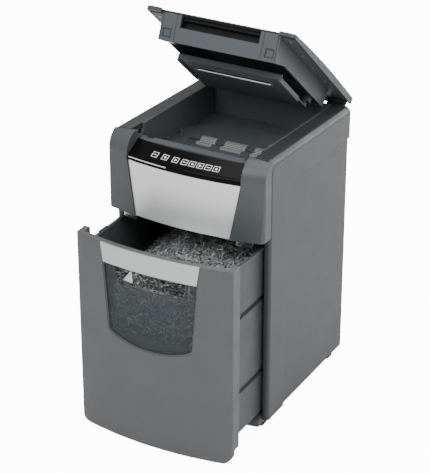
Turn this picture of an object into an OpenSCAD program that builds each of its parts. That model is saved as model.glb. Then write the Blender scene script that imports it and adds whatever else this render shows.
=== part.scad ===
// Office paper shredder with a pull-out bin, a hinged lid over an automatic feed tray and a
// geared two-shaft cutting block. Units are millimetres. X is the width, the front faces -Y and
// Z is up from the floor. Parts are laid out from the front plane of the cabinet's side panels.

/* [Cabinet] */
// Outside width of the cabinet
body_w = 360; // [320:1:432]
// Depth of the side panels
body_d = 358; // [340:1:430]
// Height of the feet
foot_h = 14; // [10:1:20]
// Thickness of the base plate
base_t = 16; // [12:1:20]
// Height of the side panels' lower edge above the base plate's underside
panel_lift = 10; // [4:1:12]
// Thickness of the double-walled side panels
side_t = 14; // [11:0.5:18]
// Outer skin of a side panel
skin_t = 4.5; // [4:0.5:6]
// Thickness of the lining sheets on the inside of the side panels
liner_t = 2; // [1.5:0.5:3]
// Depth of the step that marks off the lower field of each side panel
step_depth = 4.5; // [2:0.5:4.5]
// Thickness of the rear cover
rear_t = 4; // [3:0.5:6]

/* [Drawer] */
// How far the drawer stands open at rest
drawer_out = 127; // [60:1:150]
// Height of the drawer front's lower edge above the floor
fascia_low = 7; // [5:1:12]
// Thickness of the drawer front
fascia_t = 14; // [12:0.5:17]
// Depth of the silver band that serves as the handle, top to bottom
band_h = 43; // [36:1:50]
// Height of the window's opening below the band
window_h = 176; // [120:1:185]
// Height of the finger hole below the band
grip_h = 40; // [32:1:50]
// Wall of the bin
bin_wall = 4; // [3.5:0.5:5]
// Height of the bin's rim above its floor's underside
bin_h = 390; // [325:1:392]
// Height of the runner rails
runner_h = 11; // [8:0.5:14]

/* [Head] */
// Height of the head's underside above the floor
head_z = 456; // [450:1:540]
// Height of the head, from its underside to the front of the top edge
head_h = 169; // [160:1:190]
// How far the front stands out before the side panels at the corners
front_out = 31; // [26:1:38]
// How far the bowed front stands out further at the middle
front_sag = 22; // [16:1:27]
// Fall of the top edge from front to rear
top_fall = 19.5; // [10:0.5:24]
// Width of the frame rails beside the tray
rail_w = 38; // [34:1:44]
// Radius that rounds the shoulders over to the top
shoulder_r = 42; // [30:1:44]
// Depth of the feed tray below the top edge at the front
tray_depth = 81; // [79:1:90]
// Wall of the feed tray
tray_wall = 4; // [3:0.5:4.5]

/* [Lid] */
// Angle of the lid from level as it stands open at rest
lid_tilt = 41.6; // [20:0.1:60]
// Depth of the lid's inner frame at its front
lid_depth = 50; // [44:1:52]
// Radius of the hinge pins
pin_r = 4; // [3:0.5:4.5]

/* [Cutter] */
// Outside radius of the cutter discs
disc_r = 22; // [20:0.5:22]
// Distance from one disc to the next on a shaft
disc_pitch = 8; // [6.8:0.2:9.6]
// Thickness of one disc
disc_t = 3.6; // [3:0.1:3.6]
// Radius of the cutter shaft between the discs
core_r = 15; // [12:0.5:15]
// Radius of the shaft journals
journal_r = 8; // [6.5:0.5:9]
// Running clearance on radius of every shaft in its bearing
run_fit = 0.05; // [0.02:0.01:0.1]
// Module of the gear teeth
gear_m = 2; // [1.9:0.05:2]

/* [Hidden] */

$fn = 48;
fine_fn = 96;
eps = 1;
gap = 0.5;

half_w = body_w / 2;
bay_half = half_w - side_t;
panel_z = foot_h + panel_lift;
base_top = foot_h + base_t;
top_z = head_z + head_h;
rail_in = half_w - rail_w;
slope = atan(top_fall / body_d);

// The bowed front is one large arc in plan
front_r = (half_w * half_w + front_sag * front_sag) / (2 * front_sag);
arc_y = front_r - front_out - front_sag;
arc_steps = 32;

// Head: shoulders, silver panel and control panel
shoulder_low = half_w - 70.5;
shoulder_high = half_w - 49;
shoulder_bend = top_z - shoulder_r;
silver_top = shoulder_bend - 9;
seam_gap = 0.8;
panel_seam = 36;
panel_top_front = top_z - 16;
panel_top_r = 20;
deck_t = 4;
deck_z = head_z - 10;

// Tray
floor_z = top_z - tray_depth;
floor_drop = 10;
tray_half = rail_in - tray_wall;
tray_y0 = 24;
tray_y1 = body_d - 8;
shelf_z = top_z - 23;

// Cutting block, across the middle of the tray
slot_y = 176;
cut_half = 110;
core_gap = 1;
cut_axis = disc_r + core_r + core_gap;
cut_y_front = slot_y - cut_axis / 2;
cut_y_rear = slot_y + cut_axis / 2;
cut_z = deck_z + 42;
plate_x = 122;
plate_t = 4;
frame_y0 = slot_y - 46;
frame_y1 = slot_y + 48;
frame_z0 = deck_z;
bush_r = journal_r + 5;
drive_teeth = 36;
idler_small = 14;
idler_big = 32;
pinion_teeth = 10;
sync_teeth = 19;
sync_m = cut_axis / sync_teeth;
drive_x = plate_x + plate_t + 8;
drive_t = 9;
idler_reach = gear_m * (drive_teeth + idler_small) / 2;
idler_y = cut_y_rear + idler_reach;
big_x = drive_x + drive_t + 2;
big_t = 7;
stud_r = 5;
motor_reach = gear_m * (idler_big + pinion_teeth) / 2;
motor_y = idler_y + motor_reach;
motor_r = 32;
motor_x0 = 22;
rotor_r = 20;
rotor_shaft_r = 4;

// Feed rollers
feed_r = 14;
feed_small_r = 9.5;
feed_nip = 1;
feed_span = feed_r + feed_small_r + feed_nip;
feed_y_rear = slot_y + feed_r - 2;
feed_y_front = feed_y_rear - feed_span;
feed_z = floor_z - 9;
feed_small_z = floor_z - 7;
feed_shaft_r = 4;
feed_small_shaft_r = 3;
feed_spans = [[-82, -46], [-24.5, 24.5], [46, 82]];
belt_x = -rail_in - 10;
belt_w = 7;
belt_t = 1.6;
belt_clear = 0.4;
pulley_cut_r = 13;
pulley_feed_r = 10;

// Hinge and lid. The lid is drawn level, with its hinge axis on the X axis, and then tilted
hinge_y = body_d + 18;
lid_gap = 1.6;
hinge_z = top_z - top_fall * hinge_y / body_d + lid_gap;
lid_half = half_w - 11;
lid_front = hinge_y - 17;
lid_tail = 8;
lid_step = 12;
lid_skin = 3;
lid_skirt = 5;
lid_frame_half = tray_half - 3.5;
lid_front_y = -(lid_front - lid_step);
lid_rim = 37;
lid_rear_y = -50;
knuckle_r = 7;
knuckle_x0 = 98;
knuckle_x1 = 122;
bracket_t = 9;
bracket_wide = 39;
bracket_gap = 1;
press_pivot_y = -105;
press_pivot_z = -40;
press_plate_z = -lid_depth - 8;
press_front = -lid_front + 107;
press_half = lid_frame_half - 14.5;
press_ear_x = press_half + 1;
press_pin_r = 3;

// Drawer, drawn pushed home and then moved out
fascia_top = head_z - 2.5;
band_z = fascia_top - band_h;
window_z = band_z - window_h;
window_top_half = half_w - 66;
window_mid_half = half_w - 72.5;
window_low_half = half_w - 86;
flange_w = 15;
flange_notch = 6;
bin_half = bay_half - 6;
bin_z = base_top + 10;
bin_y1 = body_d - 13;
bin_front_gap = 0.3;
groove_z = [bin_z + 100, bin_z + 274];
groove_y0 = 37;
groove_d = 6;
groove_wall = 3;
runner_gap = 0.6;
grip_half = 79;
pane_t = 3;
pane_inset = 4;

band_seat = 3;
band_proud = 0.6;
front_most = drawer_out + front_out + front_sag + band_proud;
lid_back = hinge_y + lid_tail * cos(lid_tilt) + lid_top(lid_tail) * sin(lid_tilt);
origin_y = (front_most - lid_back) / 2;

body_grey = "#6c7072";
dark_grey = "#3a3f41";
silver = "#cdd0cf";
gloss_black = "#1c1c1e";
steel = "#b4b8ba";
rubber_black = "#202122";

// ---- Helpers ------------------------------------------------------------------------------

// Unit vector along v
function unit(v) = v / norm(v);

// Points of one corner at b, rounded to radius r, between its neighbours a and c
function corner(a, b, c, r, n) =
  r == 0 ? [b] :
  let (
    u = unit(a - b),
    v = unit(c - b),
    half = acos(u * v) / 2,
    centre = b + unit(u + v) * r / sin(half),
    s = b + u * r / tan(half) - centre,
    e = b + v * r / tan(half) - centre,
    a0 = atan2(s.y, s.x),
    turn = atan2(e.y, e.x) - a0,
    sweep = turn > 180 ? turn - 360 : (turn < -180 ? turn + 360 : turn)
  )
  [for (i = [0:n]) centre + r * [cos(a0 + sweep * i / n), sin(a0 + sweep * i / n)]];

// Outline through [x, y, r] points, each corner rounded to its own radius
function rounded(pts, n = 8) =
  let (k = len(pts), flat = [for (p = pts) [p.x, p.y]])
  [for (i = [0:k - 1]) each corner(flat[(i + k - 1) % k], flat[i], flat[(i + 1) % k], pts[i].z, n)];

// Rectangle with all corners rounded to r
function rect(x0, x1, y0, y1, r) = rounded([[x0, y0, r], [x1, y0, r], [x1, y1, r], [x0, y1, r]]);

// Y of the bowed front at x, moved inwards by inset
function bow(x, inset = 0) = arc_y - sqrt((front_r - inset) * (front_r - inset) - x * x);

// Points along the bowed front from -h to h
function bow_points(h, inset) =
  [for (i = [0:arc_steps]) let (x = h * (2 * i / arc_steps - 1)) [x, bow(x, inset)]];

// The same points run backwards
function reversed(pts) = [for (i = [len(pts) - 1:-1:0]) pts[i]];

// Height of the frame's sloping top edge at y
function top_at(y) = top_z - top_fall * y / body_d;

// Height of the lid's arched top at y, in the level lid's own frame
function lid_top(y) = 16 - 8 * pow((y + lid_front / 3) / (lid_front * 2 / 3), 2);

// Y of the lid's leaning front wall at height z
function lid_wall(z) = lid_front_y + (7 - z) * 18 / (lid_depth + 7);

module at_cabinet() { translate([0, origin_y, 0]) children(); }
module at_drawer() { at_cabinet() translate([0, -drawer_out, 0]) children(); }
module at_lid() { at_cabinet() translate([0, hinge_y, hinge_z]) rotate([-lid_tilt, 0, 0]) children(); }
module both_sides() {
  children();
  mirror([1, 0, 0]) children();
}
module block(x0, x1, y0, y1, z0, z1) { translate([x0, y0, z0]) cube([x1 - x0, y1 - y0, z1 - z0]); }

// Y-Z outline extruded across X
module across(pts, x0, x1) {
  translate([x0, 0, 0]) rotate([90, 0, 90]) linear_extrude(x1 - x0) polygon(pts);
}

// X-Z outline extruded along Y
module along(pts, y0, y1) {
  translate([0, y1, 0]) rotate([90, 0, 0]) linear_extrude(y1 - y0) polygon(pts);
}

// X-Y outline extruded upwards
module upright(pts, z0, z1) {
  translate([0, 0, z0]) linear_extrude(z1 - z0) polygon(pts);
}

// Cylinder along X
module rod(x0, x1, y, z, r) {
  translate([x0, y, z]) rotate([0, 90, 0]) cylinder(r = r, h = x1 - x0, $fn = fine_fn);
}

// Curved plate that follows the bowed front
module bowed_plate(inset, t, h, z0, z1) {
  upright(concat(bow_points(h, inset), reversed(bow_points(h, inset + t))), z0, z1);
}

// Profile of [inset, z] points swept round the bowed front, clipped to the half width h
module swept(pts, h) {
  reach = asin(h / (front_r - 80));
  intersection() {
    translate([0, arc_y, 0]) rotate([0, 0, 270 - reach])
      rotate_extrude(angle = 2 * reach, $fn = 360) polygon([for (p = pts) [front_r - p.x, p.y]]);
    block(-h, h, -front_out - front_sag - eps, body_d, 0, top_z + 50);
  }
}

// Gear along X with straight-flanked teeth, drawn about the X axis
module gear(teeth, m, t, turn) {
  r = teeth * m / 2;
  root = r - 1.2 * m;
  tip = r + 0.85 * m;
  pitch = 360 / teeth;
  pts = [for (i = [0:teeth - 1]) let (a = turn + i * pitch)
    each [
      root * [cos(a - 0.31 * pitch), sin(a - 0.31 * pitch)],
      tip * [cos(a - 0.10 * pitch), sin(a - 0.10 * pitch)],
      tip * [cos(a + 0.10 * pitch), sin(a + 0.10 * pitch)],
      root * [cos(a + 0.31 * pitch), sin(a + 0.31 * pitch)]
    ]];
  rotate([90, 0, 90]) linear_extrude(t) polygon(pts);
}

// Screw head with a hexagon socket, axis along +Z
module screw_head(r, h) {
  difference() {
    cylinder(r = r, h = h);
    translate([0, 0, h / 2]) cylinder(r = r * 0.5, h = h, $fn = 6);
  }
}

// ---- Cabinet ------------------------------------------------------------------------------

// Side view of a side panel: the top front corner is rounded and the top edge slopes
function panel_outline(g) = rounded([
  [g, panel_z, 0],
  [g, panel_top_front - g + 1, panel_top_r],
  [body_d, panel_top_front - top_fall - g, 0],
  [body_d, panel_z, 0]
]);

module base_plate() {
  color(dark_grey) at_cabinet() difference() {
    upright(rounded(concat(
      [[-bay_half, body_d - rear_t - gap, 6]],
      [for (p = bow_points(bay_half, 0)) [p.x, p.y + front_out - 14, 0]],
      [[bay_half, body_d - rear_t - gap, 6]]
    )), foot_h, base_top);
    block(-bay_half + 12, bay_half - 12, 20, body_d - 30, foot_h + 5, base_top + eps);
  }
}

module feet() {
  foot = 26;
  color(rubber_black) at_cabinet() both_sides()
    for (y = [8, body_d - rear_t - foot - 6]) difference() {
      upright(rect(bay_half - foot - 4, bay_half - 4, y, y + foot, 6), 0, foot_h);
      translate([bay_half - foot / 2 - 4, y + foot / 2, -eps]) cylinder(r = 5, h = 5 + eps);
    }
}

// Right-hand side panel; the left one is its mirror image
module side_panel() {
  field_y = 70;
  field_z = panel_top_front - 72;
  border = 7;
  rim = 12;
  edge_r = 6;
  difference() {
    intersection() {
      across(panel_outline(0), bay_half, half_w);
      // Front edge rounded towards the outside
      upright(rounded([
        [bay_half, 0, 0], [half_w, 0, edge_r], [half_w, body_d, 0], [bay_half, body_d, 0]
      ]), 0, top_z);
    }
    // Lower rear field, stepped in with a sloping border
    hull() {
      across(rounded([
        [field_y + border, panel_z - 30, 0], [field_y + border, field_z - border, 20],
        [body_d + 30, field_z - border, 0], [body_d + 30, panel_z - 30, 0]
      ]), half_w - step_depth, half_w + eps);
      across(rounded([
        [field_y, panel_z - 30, 0], [field_y, field_z, 25],
        [body_d + 30, field_z, 0], [body_d + 30, panel_z - 30, 0]
      ]), half_w, half_w + eps);
    }
    // Space between the outer skin and the lining sheet
    block(bay_half - eps, half_w - step_depth - skin_t, rim, body_d - rim, panel_z + rim, deck_z - rim - 10);
    block(bay_half - eps, half_w - step_depth - skin_t, rim, body_d - rim, deck_z + rim, field_z - border);
  }
}
module side_panel_left() { color(body_grey) at_cabinet() mirror([1, 0, 0]) side_panel(); }
module side_panel_right() { color(body_grey) at_cabinet() side_panel(); }

// Sheets that close the hollow of each side panel towards the drawer
module bay_liners() {
  rim = 12;
  color(dark_grey) at_cabinet() both_sides()
    block(bay_half, bay_half + liner_t, rim, body_d - rim, panel_z + rim, deck_z - rim - 10);
}

module rear_cover() {
  slot_rows = 9;
  color(body_grey) at_cabinet() difference() {
    block(-bay_half, bay_half, body_d - rear_t, body_d, foot_h, panel_top_front - top_fall - 4);
    // Cooling slots behind the motor and the circuit board
    for (side = [-1, 1], i = [0:slot_rows - 1])
      block(side * 78 - 42, side * 78 + 42, body_d - rear_t - eps, body_d + eps,
            deck_z + 34 + i * 8, deck_z + 38 + i * 8);
    // Openings for the mains inlet and the rocker switch
    block(inlet_x - inlet_w / 2, inlet_x + inlet_w / 2, body_d - rear_t - eps, body_d + eps,
          inlet_z - inlet_h / 2, inlet_z + inlet_h / 2);
    block(rocker_x - rocker_w / 2 - gap, rocker_x + rocker_w / 2 + gap, body_d - rear_t - eps, body_d + eps,
          inlet_z - rocker_h / 2 - gap, inlet_z + rocker_h / 2 + gap);
  }
}

module cover_screws() {
  head_r = 4.2;
  color(steel) at_cabinet() both_sides()
    for (z = [foot_h + 24, head_z - 180, head_z - 30, head_z + 95])
      translate([bay_half - 10, body_d, z]) rotate([-90, 0, 0]) screw_head(head_r, 2.2);
}

module deck_plate() {
  color(steel) at_cabinet() difference() {
    union() {
      block(-bay_half, bay_half, 0, body_d - rear_t - gap, deck_z - deck_t, deck_z);
      block(-shoulder_low, shoulder_low, -22, 0, deck_z - deck_t, deck_z);
    }
    // Cut paper falls into the bin through here
    block(-plate_x + 6, plate_x - 6, frame_y0 + 14, frame_y1 - 14, deck_z - deck_t - eps, deck_z + eps);
  }
}

// Ribs on the cabinet that run in the bin's grooves
module drawer_rails() {
  color(rubber_black) at_cabinet() both_sides()
    for (z = groove_z)
      block(bin_half - groove_d + runner_gap, bay_half, groove_y0 + 8, bin_y1 - 8,
            z - runner_h / 2, z + runner_h / 2);
}

// Upright bright tabs under the shoulders that the drawer front catches on
tab_x0 = shoulder_low + 6.5;
tab_x1 = tab_x0 + 34;
tab_z = head_z - 19.5;
tab_inset = fascia_t + 1.5;
module catch_plates() {
  tab_t = 1.4;
  hole_r = 1.9;
  color(steel) at_cabinet() both_sides() difference() {
    intersection() {
      bowed_plate(tab_inset, tab_t, half_w, tab_z, head_z);
      along(rounded([
        [tab_x0, tab_z, 3], [tab_x1, tab_z, 3], [tab_x1, head_z, 0], [tab_x0, head_z, 0]
      ]), -100, 0);
    }
    for (x = [tab_x0 + 8, tab_x1 - 8])
      translate([x, 0, tab_z + 5]) rotate([90, 0, 0]) cylinder(r = hole_r, h = 60);
  }
}

// ---- Head ---------------------------------------------------------------------------------

// Right-hand shoulder beside the silver panel, rounded over to the top
module shoulder() {
  wall = 6;
  lean = 5;
  edge_r = 12;
  difference() {
    intersection() {
      swept(rounded([
        [70, head_z, 0], [0, head_z, 0], [lean, top_z, shoulder_r], [70, top_z, 0]
      ], 14), half_w);
      along([
        [shoulder_low, head_z - eps], [shoulder_high, silver_top],
        [shoulder_high, top_z + eps], [half_w, top_z + eps], [half_w, head_z - eps]
      ], -100, 0);
      // The outer front edge is rounded in plan
      upright(rounded(concat(
        [[0, 0, 0]],
        [for (p = bow_points(half_w - 18, -eps)) if (p.x >= 0) [p.x, p.y, 0]],
        [[half_w, bow(half_w), edge_r], [half_w, 0, 0]]
      )), head_z, top_z + eps);
    }
    block(shoulder_high + wall, half_w - wall, bow(half_w) + wall + 4, eps, head_z + wall, shoulder_bend - 4);
  }
}
module shoulder_left() { color(body_grey) at_cabinet() mirror([1, 0, 0]) shoulder(); }
module shoulder_right() { color(body_grey) at_cabinet() shoulder(); }

// Right-hand rail of the head's frame, above the side panel
module rail() {
  edge = 8;
  difference() {
    intersection() {
      across([
        [0, panel_top_front - panel_seam], [0, top_z], [body_d, top_z - top_fall],
        [body_d, panel_top_front - top_fall]
      ], rail_in, half_w);
      translate([0, 0, top_z]) rotate([-slope, 0, 0])
        along(rounded([
          [rail_in, 0, 0], [half_w - edge, 0, edge * 0.7], [half_w, -edge, edge * 0.9],
          [half_w, -80, 0], [rail_in, -80, 0]
        ]), -50, body_d + 50);
    }
    across(panel_outline(-seam_gap), rail_in - eps, half_w + eps);
    // The head's chassis fills the space under the rail
    block(rail_in - eps, bay_half, -eps, body_d + eps, head_z, panel_top_front - top_fall - 2);
  }
}
module rail_left() { color(body_grey) at_cabinet() mirror([1, 0, 0]) rail(); }
module rail_right() { color(body_grey) at_cabinet() rail(); }

// Silver panel between the shoulders, leaning back a little
module front_panel() {
  lean = 4;
  sheet = 3;
  color(silver) at_cabinet() intersection() {
    swept([
      [sheet, head_z], [sheet + lean, silver_top], [2 * sheet + lean, silver_top], [2 * sheet, head_z]
    ], shoulder_high);
    along([
      [-shoulder_low + gap, head_z], [shoulder_low - gap, head_z],
      [shoulder_high - gap - 1.5, silver_top], [-shoulder_high + gap + 1.5, silver_top]
    ], -100, 0);
  }
}

// Gloss panel that rolls back from the silver panel to the tray
panel_face = [50, shelf_z + 2];
panel_edge = [8.5, silver_top + 11];
module control_panel() {
  sheet = 4;
  color(gloss_black) at_cabinet() swept(concat(
    [[7, silver_top + 0.4]],
    rounded([[7, silver_top + 0.4, 0], [panel_edge.x, panel_edge.y, 9], [panel_face.x, panel_face.y, 0]], 6),
    [[panel_face.x, panel_face.y - sheet], [panel_edge.x + sheet + 2, panel_edge.y - 4],
     [7 + sheet, silver_top + 0.4]]
  ), shoulder_high - gap);
}

// Slope of the control panel's face and the point at its middle
face_run = panel_face.x - panel_edge.x;
face_rise = panel_face.y - panel_edge.y;
face_angle = atan(face_rise / face_run);

module touch_icons() {
  size = 14;
  line = 1.3;
  count = 8;
  wide = 3;
  wide_x = -71.5;
  wide_pitch = 24.5;
  close_x = -1.6;
  close_pitch = 17.7;
  color(silver) at_cabinet()
    for (i = [0:count - 1]) {
      x = i < wide ? wide_x + i * wide_pitch : close_x + (i - wide) * close_pitch;
      y = bow(x, panel_edge.x + face_run * 0.42);
      z = panel_edge.y + face_rise * 0.42;
      translate([x, y, z]) rotate([0, 0, asin(x / front_r)]) rotate([face_angle, 0, 0]) {
        difference() {
          translate([-size / 2, -size / 2, 0.25]) cube([size, size, 0.5]);
          translate([-size / 2 + line, -size / 2 + line, -eps]) cube([size - 2 * line, size - 2 * line, 3]);
        }
        // Each key has its own plain mark: a bar, a dot or an arrow
        if (i % 3 == 0) translate([-3.6, -1, 0.25]) cube([7.2, 2, 0.5]);
        if (i % 3 == 1) translate([0, 0, 0.25]) cylinder(r = 2.7, h = 0.5);
        if (i % 3 == 2) translate([0, 0, 0.25])
          linear_extrude(0.5) polygon([[-2.6, -3.4], [3.6, 0], [-2.6, 3.4]]);
      }
    }
}

// Thin light strip along the left of the control panel's lower edge
module status_light() {
  z = silver_top + 6.4;
  color("white") at_cabinet() intersection() {
    swept([[6.2, z], [6.2, z + 1.8], [6.9, z + 1.8], [6.9, z]], shoulder_high - 3);
    block(-shoulder_high + 3, -shoulder_high + 96, -100, 0, head_z, top_z);
  }
}

module feed_tray() {
  post_w = 8;
  post_in = 2.7;
  rib_h = 22;
  color(dark_grey) at_cabinet() {
    difference() {
      union() {
        intersection() {
          block(-rail_in, rail_in, tray_y0, tray_y1, floor_z - floor_drop - tray_wall, top_z);
          across([
            [0, 0], [0, shelf_z], [tray_y0 + 12, shelf_z], [tray_y0 + 26, top_at(tray_y0 + 26)],
            [body_d, top_at(body_d)], [body_d, 0]
          ], -rail_in, rail_in);
        }
        block(-shoulder_high, shoulder_high, bow(0, panel_face.x) + 12, tray_y0,
              shelf_z - tray_wall, shelf_z);
      }
      // Well with a lower floor at the rear, behind an arched step
      difference() {
        block(-tray_half, tray_half, tray_y0 + tray_wall + 2, tray_y1 - tray_wall - 3,
              floor_z - floor_drop, top_z + eps);
        intersection() {
          block(-tray_half, tray_half, 0, body_d, floor_z - floor_drop - eps, floor_z);
          translate([0, body_d * 0.8 - 190, 0]) cylinder(r = 190, h = top_z, $fn = 180);
        }
      }
      // Opening for the throat plate
      block(-plate_x - plate_t - gap, plate_x + plate_t + gap, frame_y0 - gap, frame_y1 + gap,
            floor_z - floor_drop - tray_wall - eps, floor_z + eps);
      // Way through for the driven feed shaft, open underneath
      block(-rail_in - eps, -plate_x, feed_y_rear - feed_shaft_r - 1, feed_y_rear + feed_shaft_r + 1,
            floor_z - floor_drop - tray_wall - eps, feed_z + feed_shaft_r + 1);
      // Finger scoops in the ledge behind the control panel
      both_sides() block(shoulder_high - 26, shoulder_high - 10, tray_y0 - eps, tray_y0 + 9,
                         shelf_z - 8, shelf_z + eps);
    }
    both_sides() {
      // Posts that steer the lid's inner frame, beside the rails
      for (y = [42, 68])
        across([
          [y, floor_z], [y, top_at(y) + 1], [y + post_w, top_at(y + post_w) + 1], [y + post_w, floor_z]
        ], tray_half - post_in, rail_in - 1);
      // Low ribs that keep the stack off the front wall
      for (x = [62, 90])
        block(x, x + 3, tray_y0 + tray_wall + 1, tray_y0 + 20, floor_z - 0.5, floor_z + rib_h);
    }
  }
}

// Plate over the cutting block with windows for the rollers and the paper slot between them
module throat_plate() {
  t = 3;
  window = 1.5;
  color(dark_grey) at_cabinet() difference() {
    union() {
      block(-plate_x - plate_t, plate_x + plate_t, frame_y0, frame_y1, floor_z - t, floor_z);
      // Ribs that carry the sheets past the plate
      for (x = [-100, -90, 90, 100]) block(x - 1, x + 1, frame_y0 + 6, slot_y - 8, floor_z, floor_z + 1.5);
    }
    block(-cut_half, cut_half, slot_y - 4, slot_y + 4, floor_z - t - eps, floor_z + eps);
    for (s = feed_spans) {
      block(s[0] - window, s[1] + window, feed_y_rear - feed_r - window, feed_y_rear + feed_r + window,
            floor_z - t - eps, floor_z + eps);
      block(s[0] - window, s[1] + window, feed_y_front - feed_small_r - window,
            feed_y_front + feed_small_r + window, floor_z - t - eps, floor_z + eps);
    }
    for (x = [-34, 34]) translate([x, frame_y0 + 14, floor_z - t - eps]) cylinder(r = 3, h = t + 2 * eps);
  }
}

// Stepped catches between the control panel and the rails, and the tray's guide pegs
module lid_catches() {
  x0 = shoulder_high + gap;
  x1 = rail_in - gap;
  color(dark_grey) at_cabinet() both_sides() {
    block(x0, x1, 1, 10, shelf_z - 10, top_z - 4);
    block(x0, x1, 10, tray_y0 - 2, shelf_z - 10, shelf_z + 6);
    for (y = [tray_y0 + 94, tray_y0 + 150])
      translate([tray_half - 12, y, floor_z]) {
        cylinder(r = 5, h = 6);
        cylinder(r = 2.5, h = 20);
      }
  }
}

// ---- Cutting block ------------------------------------------------------------------------

module frame_plate(x0, y1) {
  difference() {
    block(x0, x0 + plate_t, frame_y0, y1, frame_z0, floor_z - 3);
    for (y = [cut_y_front, cut_y_rear]) rod(x0 - eps, x0 + plate_t + eps, y, cut_z, bush_r);
    rod(x0 - eps, x0 + plate_t + eps, feed_y_rear, feed_z, feed_shaft_r + run_fit);
    rod(x0 - eps, x0 + plate_t + eps, feed_y_front, feed_small_z, feed_small_shaft_r + run_fit);
  }
}
module frame_left() { color(steel) at_cabinet() frame_plate(-plate_x - plate_t, frame_y1); }
module frame_right() {
  color(steel) at_cabinet() difference() {
    frame_plate(plate_x, motor_y + motor_r + 4);
    // Clears the motor's front boss and the tray's floor behind the cutting block
    rod(plate_x - eps, plate_x + plate_t + eps, motor_y, cut_z, 9);
    block(plate_x - eps, plate_x + plate_t + eps, frame_y1, motor_y + motor_r + 5,
          floor_z - floor_drop - tray_wall, floor_z + eps);
  }
}

// Spacer rods that hold the two frame plates apart
module tie_rods() {
  r = 5;
  color(steel) at_cabinet()
    for (y = [frame_y0 + 7, frame_y1 - 7], z = [frame_z0 + 8, cut_z + 34])
      rod(-plate_x, plate_x, y, z, r);
}

module cutter_bearings() {
  color("#a98a4a") at_cabinet() both_sides()
    for (y = [cut_y_front, cut_y_rear]) difference() {
      rod(plate_x, plate_x + plate_t + 2, y, cut_z, bush_r);
      rod(plate_x - eps, plate_x + plate_t + 2 + eps, y, cut_z, journal_r + run_fit);
    }
}

// Discs of one cutter, each cut across by grooves that chop the strips
module cutter_discs(shift) {
  grooves = 6;
  groove_w = 3;
  count = floor((2 * cut_half - 2 * disc_pitch) / disc_pitch);
  rod(-cut_half, cut_half, 0, 0, core_r);
  difference() {
    for (i = [0:count - 1])
      rod((i - count / 2) * disc_pitch + shift, (i - count / 2) * disc_pitch + shift + disc_t, 0, 0, disc_r);
    for (i = [0:grooves - 1]) rotate([i * 360 / grooves, 0, 0])
      translate([-cut_half, -groove_w / 2, disc_r - 4]) cube([2 * cut_half, groove_w, 5]);
  }
}

// Rear cutter, driven by the gearbox on the right and driving the feed belt on the left
module cutter_rear() {
  color("#8c9093") at_cabinet() translate([0, cut_y_rear, cut_z]) {
    cutter_discs(0);
    rod(belt_x, drive_x + drive_t + 1, 0, 0, journal_r);
    translate([-cut_half - 9, 0, 0]) gear(sync_teeth, sync_m, 8, 0);
    rod(belt_x, belt_x + belt_w, 0, 0, pulley_cut_r);
  }
}
module drive_gear() {
  color("#d8d4c4") at_cabinet() translate([drive_x, cut_y_rear, cut_z]) difference() {
    gear(drive_teeth, gear_m, drive_t, 0);
    rod(-eps, drive_t + eps, 0, 0, journal_r);
  }
}
module cutter_front() {
  color("#8c9093") at_cabinet() translate([0, cut_y_front, cut_z]) {
    cutter_discs(disc_pitch / 2);
    rod(-plate_x - plate_t - 3, plate_x + plate_t + 3, 0, 0, journal_r);
    translate([-cut_half - 9, 0, 0]) gear(sync_teeth, sync_m, 8, 0);
  }
}

// Fingers that keep cut paper from winding round the shafts
module stripper_combs() {
  count = floor((2 * cut_half - 2 * disc_pitch) / disc_pitch);
  finger = disc_pitch - disc_t - 1;
  reach = core_r + 1.2;
  bar = disc_r + 3;
  color(dark_grey) at_cabinet() {
    translate([0, cut_y_rear, cut_z]) {
      block(-plate_x, plate_x, bar, bar + 6, -10, 2);
      for (i = [0:count - 2]) {
        x = (i - count / 2) * disc_pitch + disc_t + 0.5;
        block(x, x + finger, reach, bar, -7, -1);
      }
    }
    translate([0, cut_y_front, cut_z]) {
      block(-plate_x, plate_x, -bar - 6, -bar, -10, 2);
      for (i = [0:count - 2]) {
        x = (i - count / 2 + 0.5) * disc_pitch + disc_t + 0.5;
        block(x, x + finger, -bar, -reach, -7, -1);
      }
    }
  }
}

module gear_cover() {
  wall = 2;
  x0 = plate_x + plate_t;
  x1 = big_x + big_t + 5;
  y0 = cut_y_rear - gear_m * drive_teeth / 2 - 6;
  y1 = motor_y + 22;
  z1 = floor_z - floor_drop - tray_wall - 0.5;
  color("#2c3032") at_cabinet() difference() {
    block(x0, x1, y0, y1, deck_z + 0.5, z1);
    block(x0 - eps, x1 - wall, y0 + wall, y1 - wall, deck_z + 0.5 + wall, z1 - wall);
    // Leaves the front cutter's bearing free
    block(x0 - eps, x0 + 3.5, y0 - eps, cut_y_front + bush_r + 1, cut_z - bush_r - 1, cut_z + bush_r + 1);
  }
}

module idler_stud() {
  color(steel) at_cabinet() {
    rod(plate_x + plate_t, big_x + big_t + 2, idler_y, cut_z, stud_r);
    rod(plate_x + plate_t, drive_x - 1, idler_y, cut_z, stud_r + 3);
  }
}

// Double gear: the small one drives the cutter, the motor drives the large one
module idler_gear() {
  color("#d8d4c4") at_cabinet() translate([0, idler_y, cut_z]) difference() {
    union() {
      translate([drive_x, 0, 0]) gear(idler_small, gear_m, big_x - drive_x, 180 + 180 / idler_small);
      translate([big_x, 0, 0]) gear(idler_big, gear_m, big_t, 0);
    }
    rod(drive_x - eps, big_x + big_t + eps, 0, 0, stud_r + run_fit);
  }
}

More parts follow.
